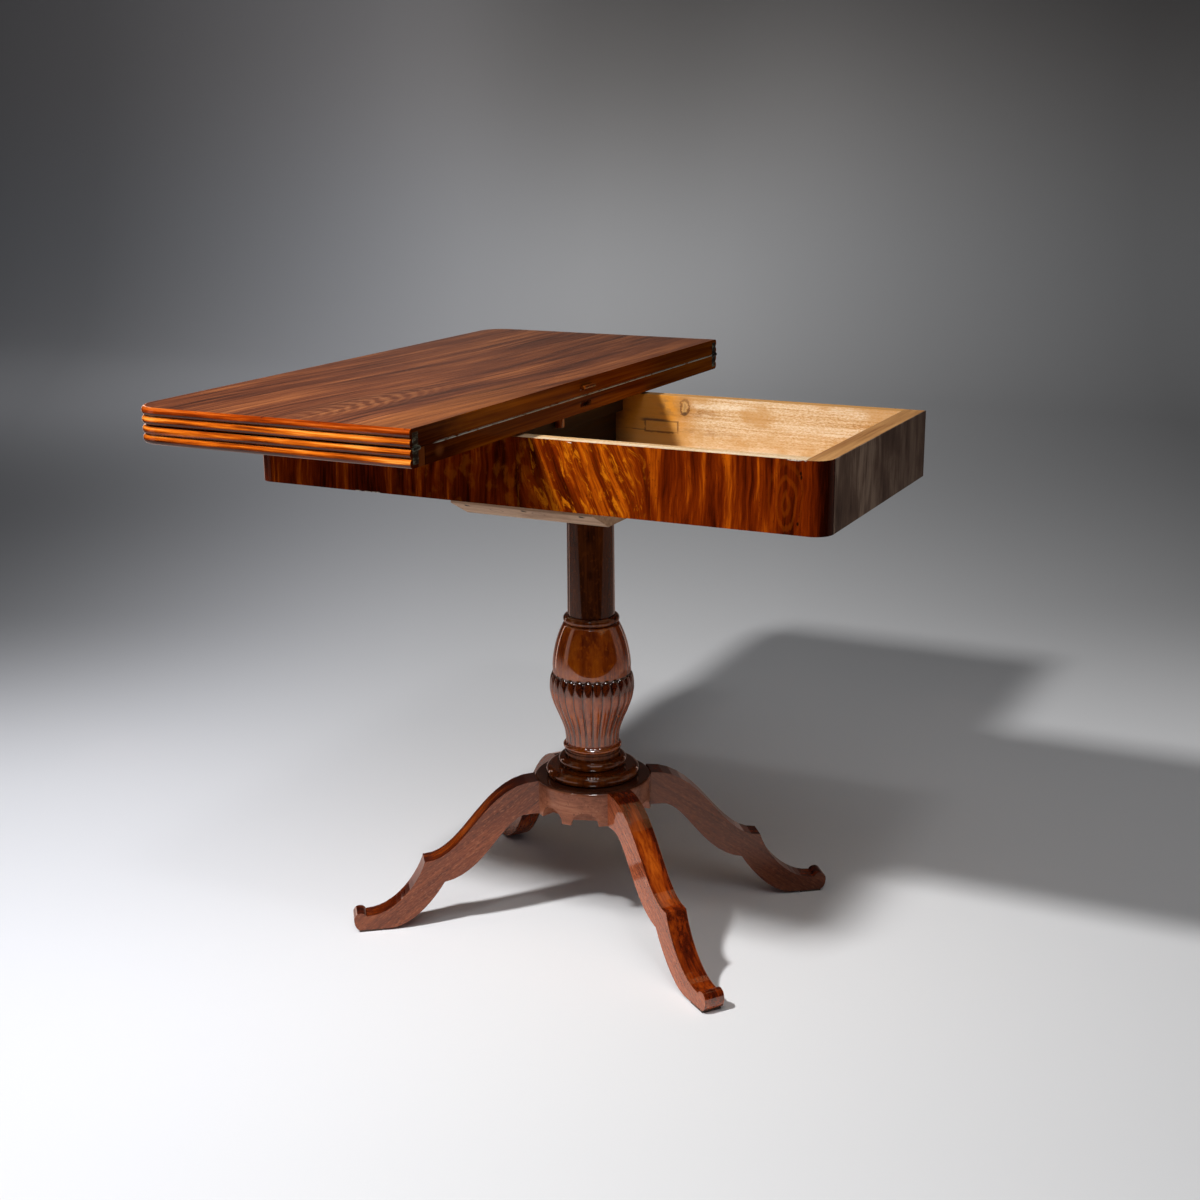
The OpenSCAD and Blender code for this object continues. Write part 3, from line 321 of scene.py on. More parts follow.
def hinged_edge_colour(f):
    """The leaves' hinged edges: orange-brown, redder at the show end, with painted light at the
    joint.
    """
    x, y, z = f.split()
    broad, fine, _ = wood_layers(f, f.join(x, z, y), wander=0.01, bands=60, streaks=260, run=0.03)
    figure = mix_layers(f, broad, fine, 0.4)
    warm = f.ramp(figure, (0.36, (0.040, 0.006, 0.0003)), (0.5, (0.135, 0.025, 0.0008)),
                  (0.66, (0.30, 0.075, 0.002)))
    red = f.ramp(figure, (0.36, (0.010, 0.002, 0.001)), (0.5, (0.045, 0.007, 0.001)),
                 (0.66, (0.13, 0.030, 0.003)))
    edge_noise = f.noise(f.mapped(f.place, scale=(1, 22, 60)), detail=3)
    colour = f.blend(f.span(f.plus(y, f.times(edge_noise, 0.12)), -0.31, -0.22), red, warm)
    # a broken pale line painted along the joint, as light seen through the gap between the leaves
    joint_breaks = f.noise(f.join(0, f.times(y, 55), f.times(z, 300)), detail=4, rough=0.7)
    joint_light = f.times(f.near(z, JOINT_Z, 0.0007, 0.0006), f.span(joint_breaks, 0.34, 0.5))
    joint_light = f.times(joint_light, f.span(y, -0.385, -0.365))
    colour = f.blend(f.times(joint_light, 0.95), colour, (0.55, 0.53, 0.44))
    # a small worn smudge near the lower leaf's show end
    smudge = f.spot((y, z), SMUDGE_AT, SMUDGE_SIZE, 0.8)
    colour = f.blend(f.times(smudge, 0.45), colour, (0.26, 0.075, 0.018))
    # the block let in beside the hinge, with its dark joint
    low_leaf = f.span(z, JOINT_Z - 0.0003, JOINT_Z - 0.0007)
    block = f.times(f.near(y, BLOCK_Y, 0.0062, 0.0008), low_leaf)
    colour = f.blend(f.times(block, 0.8), colour, (0.16, 0.040, 0.009))
    joint = f.times(f.near(y, BLOCK_JOINT_Y, 0.0003, 0.0006), low_leaf)
    colour = f.blend(f.times(joint, 0.9), colour, (0.010, 0.003, 0.001))
    # the pale lower lip of the tongue's slot
    mouth = f.times(f.near(z, SLOT_LIP_Z, 0.0002, 0.0005), f.near(y, SLOT_Y, 0.015, 0.001))
    return f.blend(mouth, colour, (0.5, 0.4, 0.3))


def leaf_wood():
    """Boards of both leaves: figured faces and the hinged edge."""
    f = Finish("satin_mahogany_leaf")
    face, fine, pores = leaf_face_colour(f)
    edge, coat = on_hinged_edge(f)
    colour = f.blend(edge, face, hinged_edge_colour(f))
    rough = f.plus(f.span(fine, 0.3, 0.7, 0.34, 0.46), f.times(edge, -0.16))
    normal = f.bump(pores, -0.00005, 0.3, f.eased(0.0007))
    return f.surface(colour, rough, normal, coat, 0.2, specular=0.0)


def along_the_lipping(f):
    """Distance out from the leaf's corner centres, and distance run round the lipping.

    The run starts elsewhere at each end of the leaf, so the two ends are no mirror pair.
    """
    x, y, _ = f.split()
    end_y = f.math("ABSOLUTE", y)
    straight_y = LEAF_Y - LEAF_CORNER
    out_x = f.larger(f.minus(LEAF_X + LEAF_CORNER, x), 0.0)
    out_y = f.larger(f.minus(end_y, straight_y), 0.0)
    round_it = f.times(f.math("ARCTAN2", out_y, out_x), LEAF_CORNER)
    run = f.plus(f.plus(f.math("MINIMUM", end_y, straight_y), round_it),
                 f.larger(f.minus(x, LEAF_X + LEAF_CORNER), 0.0))
    return f.length(out_x, out_y), f.plus(run, f.times(f.math("SIGN", y), 0.37))


def reed_wood():
    """Lipping: faces match the boards, the reeds' orange grain runs round the corners."""
    f = Finish("reeded_lipping")
    face, _, _ = leaf_face_colour(f)
    z = f.split()[2]
    out, run = along_the_lipping(f)
    broad, fine, pores = wood_layers(f, f.join(out, z, run), wander=0.004, bands=110,
                                     streaks=420, run=0.06)
    in_leaf = f.math("MODULO", f.minus(z, LEAF_LOW), LEAF_STEP)
    level = f.math("FRACT", f.over(in_leaf, REED_PITCH))
    # each reed's lower half painted darker and its upper half lighter, as painted shade and light
    figure = f.plus(mix_layers(f, broad, fine, 0.55), f.span(level, 0.2, 0.70, -0.16, 0.05))
    reed = f.ramp(figure, (0.31, (0.015, 0.002, 0.001)), (0.40, (0.085, 0.012, 0.001)),
                  (0.49, (0.30, 0.050, 0.002)), (0.57, (0.53, 0.120, 0.006)),
                  (0.68, (0.78, 0.30, 0.050)))
    reed = f.blend(f.times(pores, 0.35), reed, (0.06, 0.012, 0.002))
    top_reed = f.span(z, 0.7385, 0.7395)
    reed = f.blend(f.times(top_reed, 0.8), reed, f.tinted(reed, (0.55, 0.30, 0.25)))
    # painted shade deep in the grooves between the reeds, kept off the top face
    below_top = f.minus(1.0, f.span(z, 0.7465, 0.7485))
    groove = f.larger(f.span(level, 0.17, 0.06), f.times(f.span(level, 0.90, 0.97), below_top))
    groove = f.larger(groove, f.times(f.span(out, 0.0384, 0.0368), below_top))
    painted_groove_shade = f.times(groove, f.span(fine, 0.2, 0.6, 1.0, 0.7))
    reed = f.blend(painted_groove_shade, reed, (0.008, 0.003, 0.003))
    nicks = f.noise(f.join(0, f.times(z, 500), f.times(run, 90)), detail=4, rough=0.7)
    nick = f.times(f.near(z, 0.7492, 0.0004, 0.0006), f.span(nicks, 0.60, 0.66))
    reed = f.blend(f.times(nick, 0.8), reed, (0.02, 0.008, 0.006))
    on_reed = f.span(out, REED_IN - 0.0006, REED_IN + 0.0010)
    between = f.near(in_leaf, REED_PITCH, 0.0090, 0.0012)
    on_reed = f.larger(on_reed, f.times(between, f.span(out, 0.030, 0.033)))
    edge, coat = on_hinged_edge(f)
    colour = f.blend(edge, f.blend(on_reed, face, reed), hinged_edge_colour(f))
    rough = f.span(on_reed, 0, 1, 0.38, 0.26)
    normal = f.bump(pores, -0.00004, 0.3, f.eased(0.0006))
    return f.surface(colour, rough, normal, coat, 0.09, specular=0.0)


# ---------------------------------------------------------------- the frame and its veneers

def flame_figure(f, colour, side, feather):
    """Plumes beside the pillar, in short licks that lean right as they go down, and clouds."""
    x, _, z = f.split()
    lean = f.times(f.plus(z, f.times(x, 0.25)), 40)
    licks = f.noise(f.join(f.times(side, 105), 0, lean), detail=6, rough=0.68, warp=0.9)
    flame = f.times(f.span(licks, 0.52, 0.64), feather)
    colour = f.blend(f.times(flame, 0.66), colour, (0.60, 0.165, 0.004))
    ash = f.times(f.span(licks, 0.46, 0.36), f.near(x, 0.07, 0.075, 0.05))
    colour = f.blend(f.times(ash, 0.6), colour, (0.075, 0.012, 0.0006))
    mottle = f.noise(f.mapped(f.place, scale=(60, 20, 42)), detail=4, rough=0.55, warp=0.2)
    clouds = f.times(f.span(mottle, 0.50, 0.64), f.near(x, -0.075, 0.07, 0.05))
    return f.blend(f.times(clouds, 0.32), colour, (0.34, 0.080, 0.002))


def veneer_marks(f, colour):
    """Pin knots, dark flecks and the chips on the veneer's edges."""
    x, _, z = f.split()
    for knot in PIN_KNOTS:
        colour = f.blend(f.spot((x, z), knot, (0.0013, 0.0022)), colour, (0.012, 0.003, 0.001))
    flecks = f.noise(f.mapped(f.place, scale=(420, 60, 300)), detail=2)
    colour = f.blend(f.times(f.span(flecks, 0.66, 0.72), 0.5), colour, (0.03, 0.005, 0.001))
    chips = f.noise(f.mapped(f.place, scale=(160, 10, 700)), detail=3)
    for low, high, level in EDGE_CHIPS:
        along = f.times(f.span(x, low, low + 0.003), f.span(x, high, high - 0.003))
        chip = f.times(f.near(z, level, 0.0002, 0.0009), along)
        colour = f.blend(f.times(chip, f.span(chips, 0.44, 0.52)), colour, (0.66, 0.56, 0.46))
    return colour


def flame_veneer():
    """Front veneer: upright grain, a feathered flame beside the pillar and an eye at the right."""
    f = Finish("flame_veneer")
    x, y, z = f.split()
    feather = f.near(x, FLAME_X, 0.055, 0.045)
    sway = f.noise(f.mapped(f.place, scale=(9, 4, 11)), detail=2)
    slant = f.times(f.times(feather, 0.42), f.minus(z, 0.66))
    side = f.plus(f.plus(x, slant), f.times(sway, 0.016))
    broad = f.noise(f.join(f.times(side, 70), f.times(y, 30), f.times(z, 6)), detail=5, warp=0.4)
    fine = f.noise(f.join(f.times(side, 380), f.times(y, 150), f.times(z, 22)),
                   detail=4, rough=0.65)
    bright = f.plus(f.times(feather, 0.035), f.times(f.near(x, 0.22, 0.05, 0.05), 0.035))
    # duller by the eye, and painted shade on the rounded right corner, which turns away from the
    # light
    dull = f.plus(f.times(f.near(x, 0.335, 0.03, 0.04), 0.015),
                  f.times(f.span(x, 0.372, 0.386), 0.09))
    figure = f.minus(f.plus(mix_layers(f, broad, fine, 0.30), bright), dull)
    colour = f.ramp(figure, (0.38, (0.024, 0.0024, 0.0002)), (0.47, (0.078, 0.0074, 0.0004)),
                    (0.56, (0.150, 0.0170, 0.0006)), (0.67, (0.40, 0.075, 0.002)))
    colour = flame_figure(f, colour, side, feather)
    rings = f.plus(f.oval((x, z), EYE_AT, EYE_SIZE), f.times(f.plus(broad, sway), 0.7))
    ripple = f.math("SINE", f.times(rings, 15))
    eye = f.times(f.span(ripple, -0.2, 0.9), f.span(rings, 2.3, 1.3))
    colour = f.blend(f.times(eye, 0.22), colour, (0.30, 0.052, 0.001))
    colour = veneer_marks(f, colour)
    pores = f.noise(f.join(f.times(side, 1500), f.times(y, 900), f.times(z, 60)), detail=2)
    pores = f.span(pores, 0.6, 0.7)
    colour = f.blend(f.times(pores, 0.35), colour, (0.02, 0.004, 0.001))
    rough = f.span(fine, 0.3, 0.7, 0.22, 0.32)
    coat = f.plus(0.3, f.times(f.span(x, -0.372, -0.386), 0.7))
    normal = f.bump(pores, -0.00003, 0.3, f.eased(0.0005))
    return f.surface(colour, rough, normal, coat, 0.05, specular=0.0)


def end_veneer_wood():
    """End veneers: dull upright grain with cloudy grey patches, and painted shade towards the back.
    """
    f = Finish("end_veneer")
    broad, fine, pores = wood_layers(f, f.grain_place("z"), wander=0.04, bands=22,
                                     streaks=190, run=0.12)
    clouds = f.noise(f.mapped(f.place, scale=(20, 26, 11)), detail=4, rough=0.6, warp=0.6)
    figure = f.plus(f.times(mix_layers(f, broad, fine, 0.4), 0.55), f.times(clouds, 0.45))
    colour = f.ramp(figure, (0.40, (0.045, 0.026, 0.018)), (0.49, (0.135, 0.083, 0.056)),
                    (0.58, (0.31, 0.215, 0.15)))
    # painted shade: darker towards the back
    back = f.span(f.split()[1], -0.16, 0.10)
    colour = f.blend(f.times(back, 0.45), colour, (0.05, 0.030, 0.022))
    normal = f.bump(pores, -0.00003, 0.3, f.eased(0.0005))
    return f.surface(colour, 0.45, normal, 0.45, 0.3, specular=0.0)


def inside_figure(f, stain, golden=0.0):
    """Bare inside wood: cream with straight grain, flecks and stains; golden, then painted shade,
    by the partition.
    """
    grain = f.grain_place("x")
    broad, fine, pores = wood_layers(f, grain, wander=0.01, bands=34, streaks=300, run=0.035)
    dabs = f.noise(f.mapped(grain, scale=(620, 620, 240)), detail=4, rough=0.7)
    figure = f.plus(f.times(mix_layers(f, broad, fine, 0.5), 0.6), f.times(dabs, 0.4))
    colour = f.ramp(figure, (0.38, (0.32, 0.13, 0.025)), (0.455, (0.58, 0.34, 0.14)),
                    (0.54, (0.76, 0.59, 0.395)), (0.66, (0.88, 0.79, 0.65)))
    drift = f.noise(f.mapped(f.place, scale=(13, 13, 24)), detail=6, rough=0.62)
    colour = f.blend(f.times(f.span(drift, 0.45, 0.60), stain), colour, (0.52, 0.27, 0.080))
    specks = f.noise(f.mapped(f.place, scale=(230, 230, 330)), detail=3)
    colour = f.blend(f.times(f.span(specks, 0.63, 0.70), 0.6), colour, (0.34, 0.15, 0.04))
    if golden:
        # towards the partition the wood turns golden, partly its own tone and partly the hue of
        # painted shade, then is painted dark as shade
        along = f.plus(f.split()[0], f.times(drift, 0.05))
        colour = f.blend(f.times(f.span(along, 0.112, 0.058), golden), colour,
                         (0.66, 0.25, 0.008))
        colour = f.blend(f.times(f.span(along, 0.012, -0.018), golden), colour,
                         (0.12, 0.035, 0.001))
    return f.blend(f.times(pores, 0.25), colour, (0.22, 0.10, 0.035)), fine


def bare_surface(f, colour, fine):
    """Wood without polish, its grain slightly raised."""
    normal = f.bump(fine, 0.00012, 0.4, f.eased(0.0006))
    return f.surface(colour, 0.72, normal, specular=0.25)


def rail_wood():
    """The front rail and the well's floor."""
    f = Finish("rail_wood")
    return bare_surface(f, *inside_figure(f, 0.3))


def grime_patches(f):
    """Patches of old grime in the well."""
    return f.noise(f.mapped(f.place, scale=(45, 45, 90)), detail=5, rough=0.65)


def patch_outline(f, where, half, soft):
    """1 along the outline of the repair patch."""
    far = None
    for value, low, high in zip(where, PATCH_LOW, PATCH_HIGH):
        away = f.minus(f.math("ABSOLUTE", f.minus(value, (low + high) / 2)), (high - low) / 2)
        far = away if far is None else f.larger(far, away)
    return f.near(far, 0.0, half, soft)


def knotted(f, colour, grime):
    """A knot like a pale shield in a golden stain, its ragged dark rim darkest at the foot."""
    x, _, z = f.split()
    ring = f.plus(f.oval((x, z), KNOT_AT, KNOT_SIZE), f.times(f.minus(grime, 0.5), 2.6))
    stain = f.times(f.span(ring, 2.9, 0.9), f.span(grime, 0.38, 0.60, 0.35, 0.9))
    colour = f.blend(stain, colour, (0.40, 0.175, 0.035))
    colour = f.blend(f.times(f.span(ring, 0.85, 0.5), 0.7), colour, (0.62, 0.38, 0.14))
    rim = f.times(f.near(ring, 1.0, 0.05, 0.22), f.span(z, 0.696, 0.684, 0.65, 1.0))
    colour = f.blend(rim, colour, (0.14, 0.050, 0.010))
    colour = f.blend(f.times(f.near(ring, 0.35, 0.08, 0.15), 0.5), colour, (0.20, 0.08, 0.02))
    foot = f.spot((x, z), KNOT_FOOT, (0.0035, 0.0022), 0.6)
    return f.blend(f.times(foot, 0.9), colour, (0.05, 0.018, 0.005))


def back_rail_wood():
    """The back rail: cream inside with stains, a knot and the patch's outline, brown elsewhere."""
    f = Finish("back_rail_wood")
    # golden and painted shade towards the partition
    colour, fine = inside_figure(f, 0.75, 0.98)
    x, y, z = f.split()
    colour = f.blend(f.span(z, 0.672, 0.640, 0.0, 0.32), colour, (0.60, 0.33, 0.11))
    grime = grime_patches(f)
    for centre, size, depth in WELL_STAINS:
        dab = f.times(f.spot((x, z), centre, size, 0.8), f.span(grime, 0.42, 0.58, 0.1, 1.0))
        colour = f.blend(f.times(dab, depth), colour, (0.30, 0.125, 0.025))
    colour = knotted(f, colour, grime)
    # glue lines round the patch, a smear of glue on it, and the crack that runs on from it
    frayed = f.span(grime, 0.40, 0.52, 0.25, 1.0)
    jitter = f.times(f.minus(grime, 0.5), 0.009)
    around = patch_outline(f, (f.plus(x, jitter), f.plus(z, jitter)), 0.0002, 0.0022)
    colour = f.blend(f.times(around, f.times(frayed, 0.85)), colour, (0.16, 0.060, 0.012))
    smear = f.times(f.near(z, 0.6675, 0.0010, 0.0020), f.near(x, 0.012, 0.012, 0.012))
    colour = f.blend(f.times(smear, 0.85), colour, (0.09, 0.032, 0.008))
    crack = f.times(f.near(f.plus(z, f.times(grime, 0.004)), 0.6555, 0.0002, 0.0007),
                    f.near(x, 0.005, 0.05, 0.01))
    colour = f.blend(f.times(crack, f.times(frayed, 0.8)), colour, (0.05, 0.018, 0.006))
    brown = f.ramp(fine, (0.3, (0.42, 0.18, 0.045)), (0.7, (0.66, 0.36, 0.12)))
    return bare_surface(f, f.blend(f.span(y, *RAIL_INNER), colour, brown), fine)


def patch_wood():
    """The let-in patch: a warmer piece with dark glue lines round it."""
    f = Finish("patch_wood")
    # golden and painted shade towards the partition, as on the rail
    colour, fine = inside_figure(f, 0.7, 0.92)
    x, _, z = f.split()
    colour = f.blend(0.25, colour, (0.52, 0.28, 0.075))
    worn = f.span(grime_patches(f), 0.40, 0.52, 0.3, 1.0)
    glue = f.times(patch_outline(f, (x, z), 0.0002, 0.0014), f.times(worn, 0.7))
    colour = f.blend(glue, colour, (0.12, 0.045, 0.012))
    return f.surface(colour, 0.7, f.bump(fine, 0.00012, 0.4), specular=0.25)


def bearer_wood():
    """The bearer: raw wood with two faint ovals on its front bevel and grime in patches."""
    f = Finish("bearer_wood")
    broad, fine, _ = wood_layers(f, f.grain_place("x"), bands=40, streaks=260, run=0.05)
    colour = f.ramp(mix_layers(f, broad, fine, 0.5), (0.34, (0.27, 0.16, 0.095)),
                    (0.5, (0.44, 0.285, 0.185)), (0.68, (0.60, 0.42, 0.29)))
    x, y, _ = f.split()
    for centre in BEARER_OVALS:
        ring = f.near(f.oval((x, y), centre, BEARER_OVAL_SIZE), 1.0, 0.05, 0.12)
        colour = f.blend(f.times(ring, 0.6), colour, (0.16, 0.10, 0.07))
    drift = f.noise(f.mapped(f.place, scale=(22, 22, 22)), detail=5, rough=0.6)
    colour = f.blend(f.times(f.span(drift, 0.52, 0.7), 0.5), colour, (0.20, 0.115, 0.07))
    normal = f.bump(fine, 0.00015, 0.4, f.eased(0.0008))
    return f.surface(colour, 0.75, normal, specular=0.2)


# ---------------------------------------------------------------- the pillar, hub and legs

def hub_wood():
    """The hub: red-brown sides with dark specks, its top polished nearly black round the pillar."""
    f = Finish("hub_wood")
    broad, fine, pores = wood_layers(f, f.grain_place("x"), bands=40, streaks=300, run=0.055)
    colour = f.ramp(mix_layers(f, broad, fine, 0.45), (0.36, (0.14, 0.044, 0.022)),
                    (0.5, (0.27, 0.088, 0.044)), (0.64, (0.38, 0.15, 0.080)))
    specks = f.noise(f.mapped(f.place, scale=(420, 420, 300)), detail=3)
    colour = f.blend(f.times(f.span(specks, 0.60, 0.70), 0.6), colour, (0.06, 0.014, 0.006))
    top = f.span(f.split()[2], *HUB_TOP)
    colour = f.blend(f.times(top, 0.85), colour, (0.035, 0.008, 0.003))
    normal = f.bump(pores, -0.00004, 0.3, f.eased(0.0010))
    return f.surface(colour, 0.32, normal, 0.9, 0.10, specular=0.0)


def lobe_shading(f, colour):
    """Painted shade in the quirks between the lobes, over their tops and on the lobes above the
    belly.
    """
    x, y, z = f.split()
    turn = f.times(f.math("ARCTAN2", y, x), LOBES / (2 * math.pi))
    off = f.math("ABSOLUTE", f.minus(f.math("FRACT", f.plus(turn, LOBES)), 0.5))
    low_down = f.span(z, 0.315, 0.262, 0.0, 0.13)
    quirk = f.minus(1.0, f.span(off, f.plus(low_down, 0.035), f.plus(low_down, 0.12)))
    foot, top = LOBE_FOOT * MM, LOBE_TOP * MM
    quirk = f.times(quirk, f.times(f.span(z, foot, foot + 0.0065), f.span(z, top, top - 0.002)))
    above = f.times(f.near(z, top - 0.0005, 0.0006, 0.0020), 0.9)
    shade = f.blend(f.span(z, 0.322, 0.334), (0.95, 0.80, 0.80), (0.34, 0.26, 0.30))
    on_lobes = f.times(f.span(z, top + 0.0003, top - 0.0005), f.span(z, 0.2490, 0.2500))
    colour = f.blend(on_lobes, colour, f.tinted(colour, shade))
    return f.blend(f.larger(f.times(quirk, 0.75), above), colour, (0.020, 0.003, 0.001))


def pillar_polish(name, dark, middle, light, knots=(), lobed=False, mirror=1.6):
    """Clear high polish over a soft upright figure with pale flecks and small knots."""
    f = Finish(name)
    broad, fine, pores = wood_layers(f, f.grain_place("z"), wander=0.02, bands=45,
                                     streaks=240, run=0.10)
    colour = f.ramp(mix_layers(f, broad, fine, 0.42), (0.36, dark), (0.49, middle), (0.64, light))
    mottle = f.noise(f.mapped(f.place, scale=(190, 190, 120)), detail=4, rough=0.6)
    colour = f.blend(f.times(f.span(mottle, 0.54, 0.66), 0.45), colour, tone(light, 1.25))
    x, y, z = f.split()
    for bearing, height, size in knots:
        cos, sin = math.cos(math.radians(bearing)), math.sin(math.radians(bearing))
        along = f.plus(f.times(x, -sin), f.times(y, cos))
        facing = f.span(f.plus(f.times(x, cos), f.times(y, sin)), 0.0, 0.004)
        knot = f.times(f.spot((along, z), (0.0, height), (size * 0.55, size), 0.6), facing)
        colour = f.blend(f.times(knot, 0.5), colour, tone(dark, 0.2))
    colour = f.blend(f.times(pores, 0.3), colour, tone(dark, 0.4))
    if lobed:
        colour = lobe_shading(f, colour)
    # the small fillets over the base moulding have lost most of their polish
    fillets = f.times(f.span(z, 0.2310, 0.2330), f.span(z, 0.2440, 0.2430))
    coat = f.plus(1.0, f.times(fillets, -0.6))
    rough = f.span(fine, 0.3, 0.7, 0.24, 0.34)
    return f.surface(colour, rough, f.eased(0.0004), coat, 0.04, specular=0.0, coat_ior=mirror)


def leg_wood(name, turn, flank_painted_light, face_painted_light, mirror):
    """Red-brown leg: flecked flanks, a streaky glossy upper face and a dark line of painted shade
    at its edges.
    """
    f = Finish(name)
    across, height, out = f.split(f.grain_place("x", turn))
    cos, sin = math.cos(LEG_SLOPE), math.sin(LEG_SLOPE)
    grain = f.join(across, f.plus(f.times(out, sin), f.times(height, cos)),
                   f.plus(f.times(out, cos), f.times(height, -sin)))
    broad, fine, pores = wood_layers(f, grain, wander=0.012, bands=70, streaks=330, run=0.06)
    figure = mix_layers(f, broad, fine, 0.5)
    flank = f.ramp(figure, (0.34, (0.080, 0.013, 0.004)), (0.5, (0.205, 0.042, 0.013)),
                   (0.66, (0.36, 0.090, 0.030)))
    flecks = f.noise(f.mapped(grain, scale=(600, 600, 170)), detail=2)
    flank = f.blend(f.times(f.span(flecks, 0.56, 0.66), 0.55), flank, (0.40, 0.13, 0.055))
    flank = f.blend(f.times(f.span(flecks, 0.42, 0.34), 0.6), flank, (0.045, 0.010, 0.004))
    # each leg's own flank and face tones paint its light and shade
    flank = f.tinted(flank, (flank_painted_light,) * 3)
    slow = f.noise(f.mapped(grain, scale=(55, 55, 9)), detail=3)
    figure = f.plus(figure, f.times(f.minus(slow, 0.5), 0.9))
    face = f.ramp(figure, (0.30, (0.022, 0.0025, 0.0005)), (0.43, (0.100, 0.0095, 0.0008)),
                  (0.56, (0.26, 0.033, 0.002)), (0.76, (0.55, 0.105, 0.006)))
    face = f.tinted(face, (face_painted_light,) * 3)
    half_width = f.span(out, 0.08, LEG_TIP, 0.017, 0.01375, smooth=False)
    from_edge = f.minus(half_width, f.math("ABSOLUTE", across))
    colour = f.blend(f.span(from_edge, 0.0003, 0.0014), flank, face)
    # a dark line painted as shade along the edges of the upper face
    edge_shade_line = f.times(f.near(from_edge, 0.0013, 0.0003, 0.0008), 0.5)
    colour = f.blend(edge_shade_line, colour, (0.05, 0.008, 0.001))
    colour = f.blend(f.times(pores, 0.35), colour, (0.03, 0.006, 0.002))
    rough = f.span(fine, 0.3, 0.7, 0.24, 0.34)
    normal = f.bump(pores, -0.00003, 0.25, f.eased(0.0009))
    return f.surface(colour, rough, normal, 1.0, 0.045, specular=0.0, coat_ior=mirror)


dress(leaf_wood(), "upper_leaf_board", "lower_leaf_board")
dress(reed_wood(), "upper_leaf_lipping", "lower_leaf_lipping")
dress(flame_veneer(), "front_veneer")
dress(end_veneer_wood(), "left_end_veneer", "right_end_veneer")
dress(rail_wood(), "front_rail", "well_floor")
# the partition, pivot rail and glue blocks painted very dark, as painted shade
dress(plain_finish("cross_wood_painted_shade", (0.010, 0.004, 0.0015), (0.028, 0.013, 0.004),
                   (0.07, 0.035, 0.012), 0.7, specular=0.2),
      "well_partition", "pivot_rail", "glue_blocks")
dress(back_rail_wood(), "back_rail")
dress(patch_wood(), "repair_patch")
dress(plain_finish("end_rail_wood", (0.26, 0.105, 0.030), (0.47, 0.235, 0.080),
                   (0.62, 0.36, 0.16), 0.6, specular=0.25),
      "left_end_rail", "right_end_rail", "tenon_wedges")
dress(bearer_wood(), "bearer_board")
dress(pillar_polish("polished_pillar", (0.12, 0.018, 0.0008), (0.27, 0.050, 0.0016),
                    (0.44, 0.105, 0.003)), "column_vase", "stop_peg")
dress(pillar_polish("dark_polish", (0.035, 0.006, 0.0012), (0.095, 0.018, 0.002),
                    (0.19, 0.042, 0.004)), "column_collar", "base_moulding", "leaf_tongue")
dress(pillar_polish("polished_shaft", (0.018, 0.004, 0.0012), (0.045, 0.010, 0.002),
                    (0.10, 0.024, 0.004), mirror=1.4,
                    knots=((-67, 0.545, 0.010), (-65, 0.492, 0.006), (-60, 0.575, 0.005))),
      "column_shaft")
dress(hub_wood(), "hub")
dress(plain_finish("blackened_iron", (0.05, 0.048, 0.045), (0.09, 0.085, 0.08),
                   (0.14, 0.13, 0.12), 0.6),
      "pivot_plate", "pivot_plate_screws", "pivot_bolt", "pivot_collar", "pivot_washer",
      "pivot_nut", "leg_brace", "brace_screws", "bearer_screws")
dress(plain_finish("aged_brass", (0.003, 0.0026, 0.002), (0.014, 0.013, 0.008),
                   (0.20, 0.20, 0.14), 0.45, specular=0.15, bands=160, streaks=600, run=0.5),
      "upper_hinge_straps", "lower_hinge_straps", "upper_hinge_screws", "lower_hinge_screws",
      "hinge_pins", "pivot_bush")
dress(plain_finish("worn_leather", (0.03, 0.02, 0.015), (0.06, 0.04, 0.03),
                   (0.1, 0.07, 0.05), 0.7), "glide_pads", "foot_pads")
# per-leg tones paint light and shade: the front right flank lighter as a painted reflection of the
# floor, the back right flank darker as painted shade
for name, turn, flank_painted_light, face_painted_light, mirror in (
        ("leg_front_left", math.pi + LEG_TURN, 0.9, 0.55, 1.7),
        ("leg_front_right", -LEG_TURN, 1.5, 1.0, 2.1),
        ("leg_back_left", math.pi - LEG_TURN, 0.9, 0.8, 1.7),
        ("leg_back_right", LEG_TURN, 0.58, 0.7, 1.6)):
    dress(leg_wood(name + "_wood", turn, flank_painted_light, face_painted_light, mirror), name)


# ---------------------------------------------------------------- the lobed vase

def bend(a, b, c, d, steps):
    """Points of a smooth curve from a to d that leaves towards b and arrives from c."""
    out = []
    for i in range(steps + 1):
        t = i / steps
        u = 1 - t
        out.append(tuple(u ** 3 * a[k] + 3 * u * u * t * b[k] + 3 * u * t * t * c[k] + t ** 3 * d[k]
                         for k in (0, 1)))
    return out


def vase_rows():
    """(radius, height, lobe share) of each row of the vase, from the ring to the neck."""
    rows = [(0.0, VASE_LOW, 0.0)]
    ring = (LOBE_FOOT - VASE_LOW) / 2
    for i in range(13):
        a = -math.pi / 2 + math.pi * i / 12
        rows.append((RING_R - ring + ring * math.cos(a), VASE_LOW + ring + ring * math.sin(a), 0.0))
    low = bend((FOOT_R, LOBE_FOOT), (FOOT_R - 2.5, LOBE_FOOT + 30), (LOBE_R, LOBE_BELLY - 27),
               (LOBE_R, LOBE_BELLY), 30)
    high = bend((LOBE_R, LOBE_BELLY), (LOBE_R, LOBE_BELLY + 11), (LOBE_R - 1.2, LOBE_TOP - 2),
                (EGG_R + 0.4, LOBE_TOP), 18)[1:]
    egg = bend((EGG_R, LOBE_TOP), (EGG_R + 2, LOBE_TOP + 24), (47, VASE_TOP - 17),
               (NECK_R, VASE_TOP), 26)
    rows += [(r, z, min(1.0, 0.45 + 0.55 * (z - LOBE_FOOT) / 25)) for r, z in low]
    rows += [(r, z, 1.0) for r, z in high]
    rows += [(r, z, 0.0) for r, z in egg]
    rows.append((0.0, VASE_TOP, 0.0))
    return rows


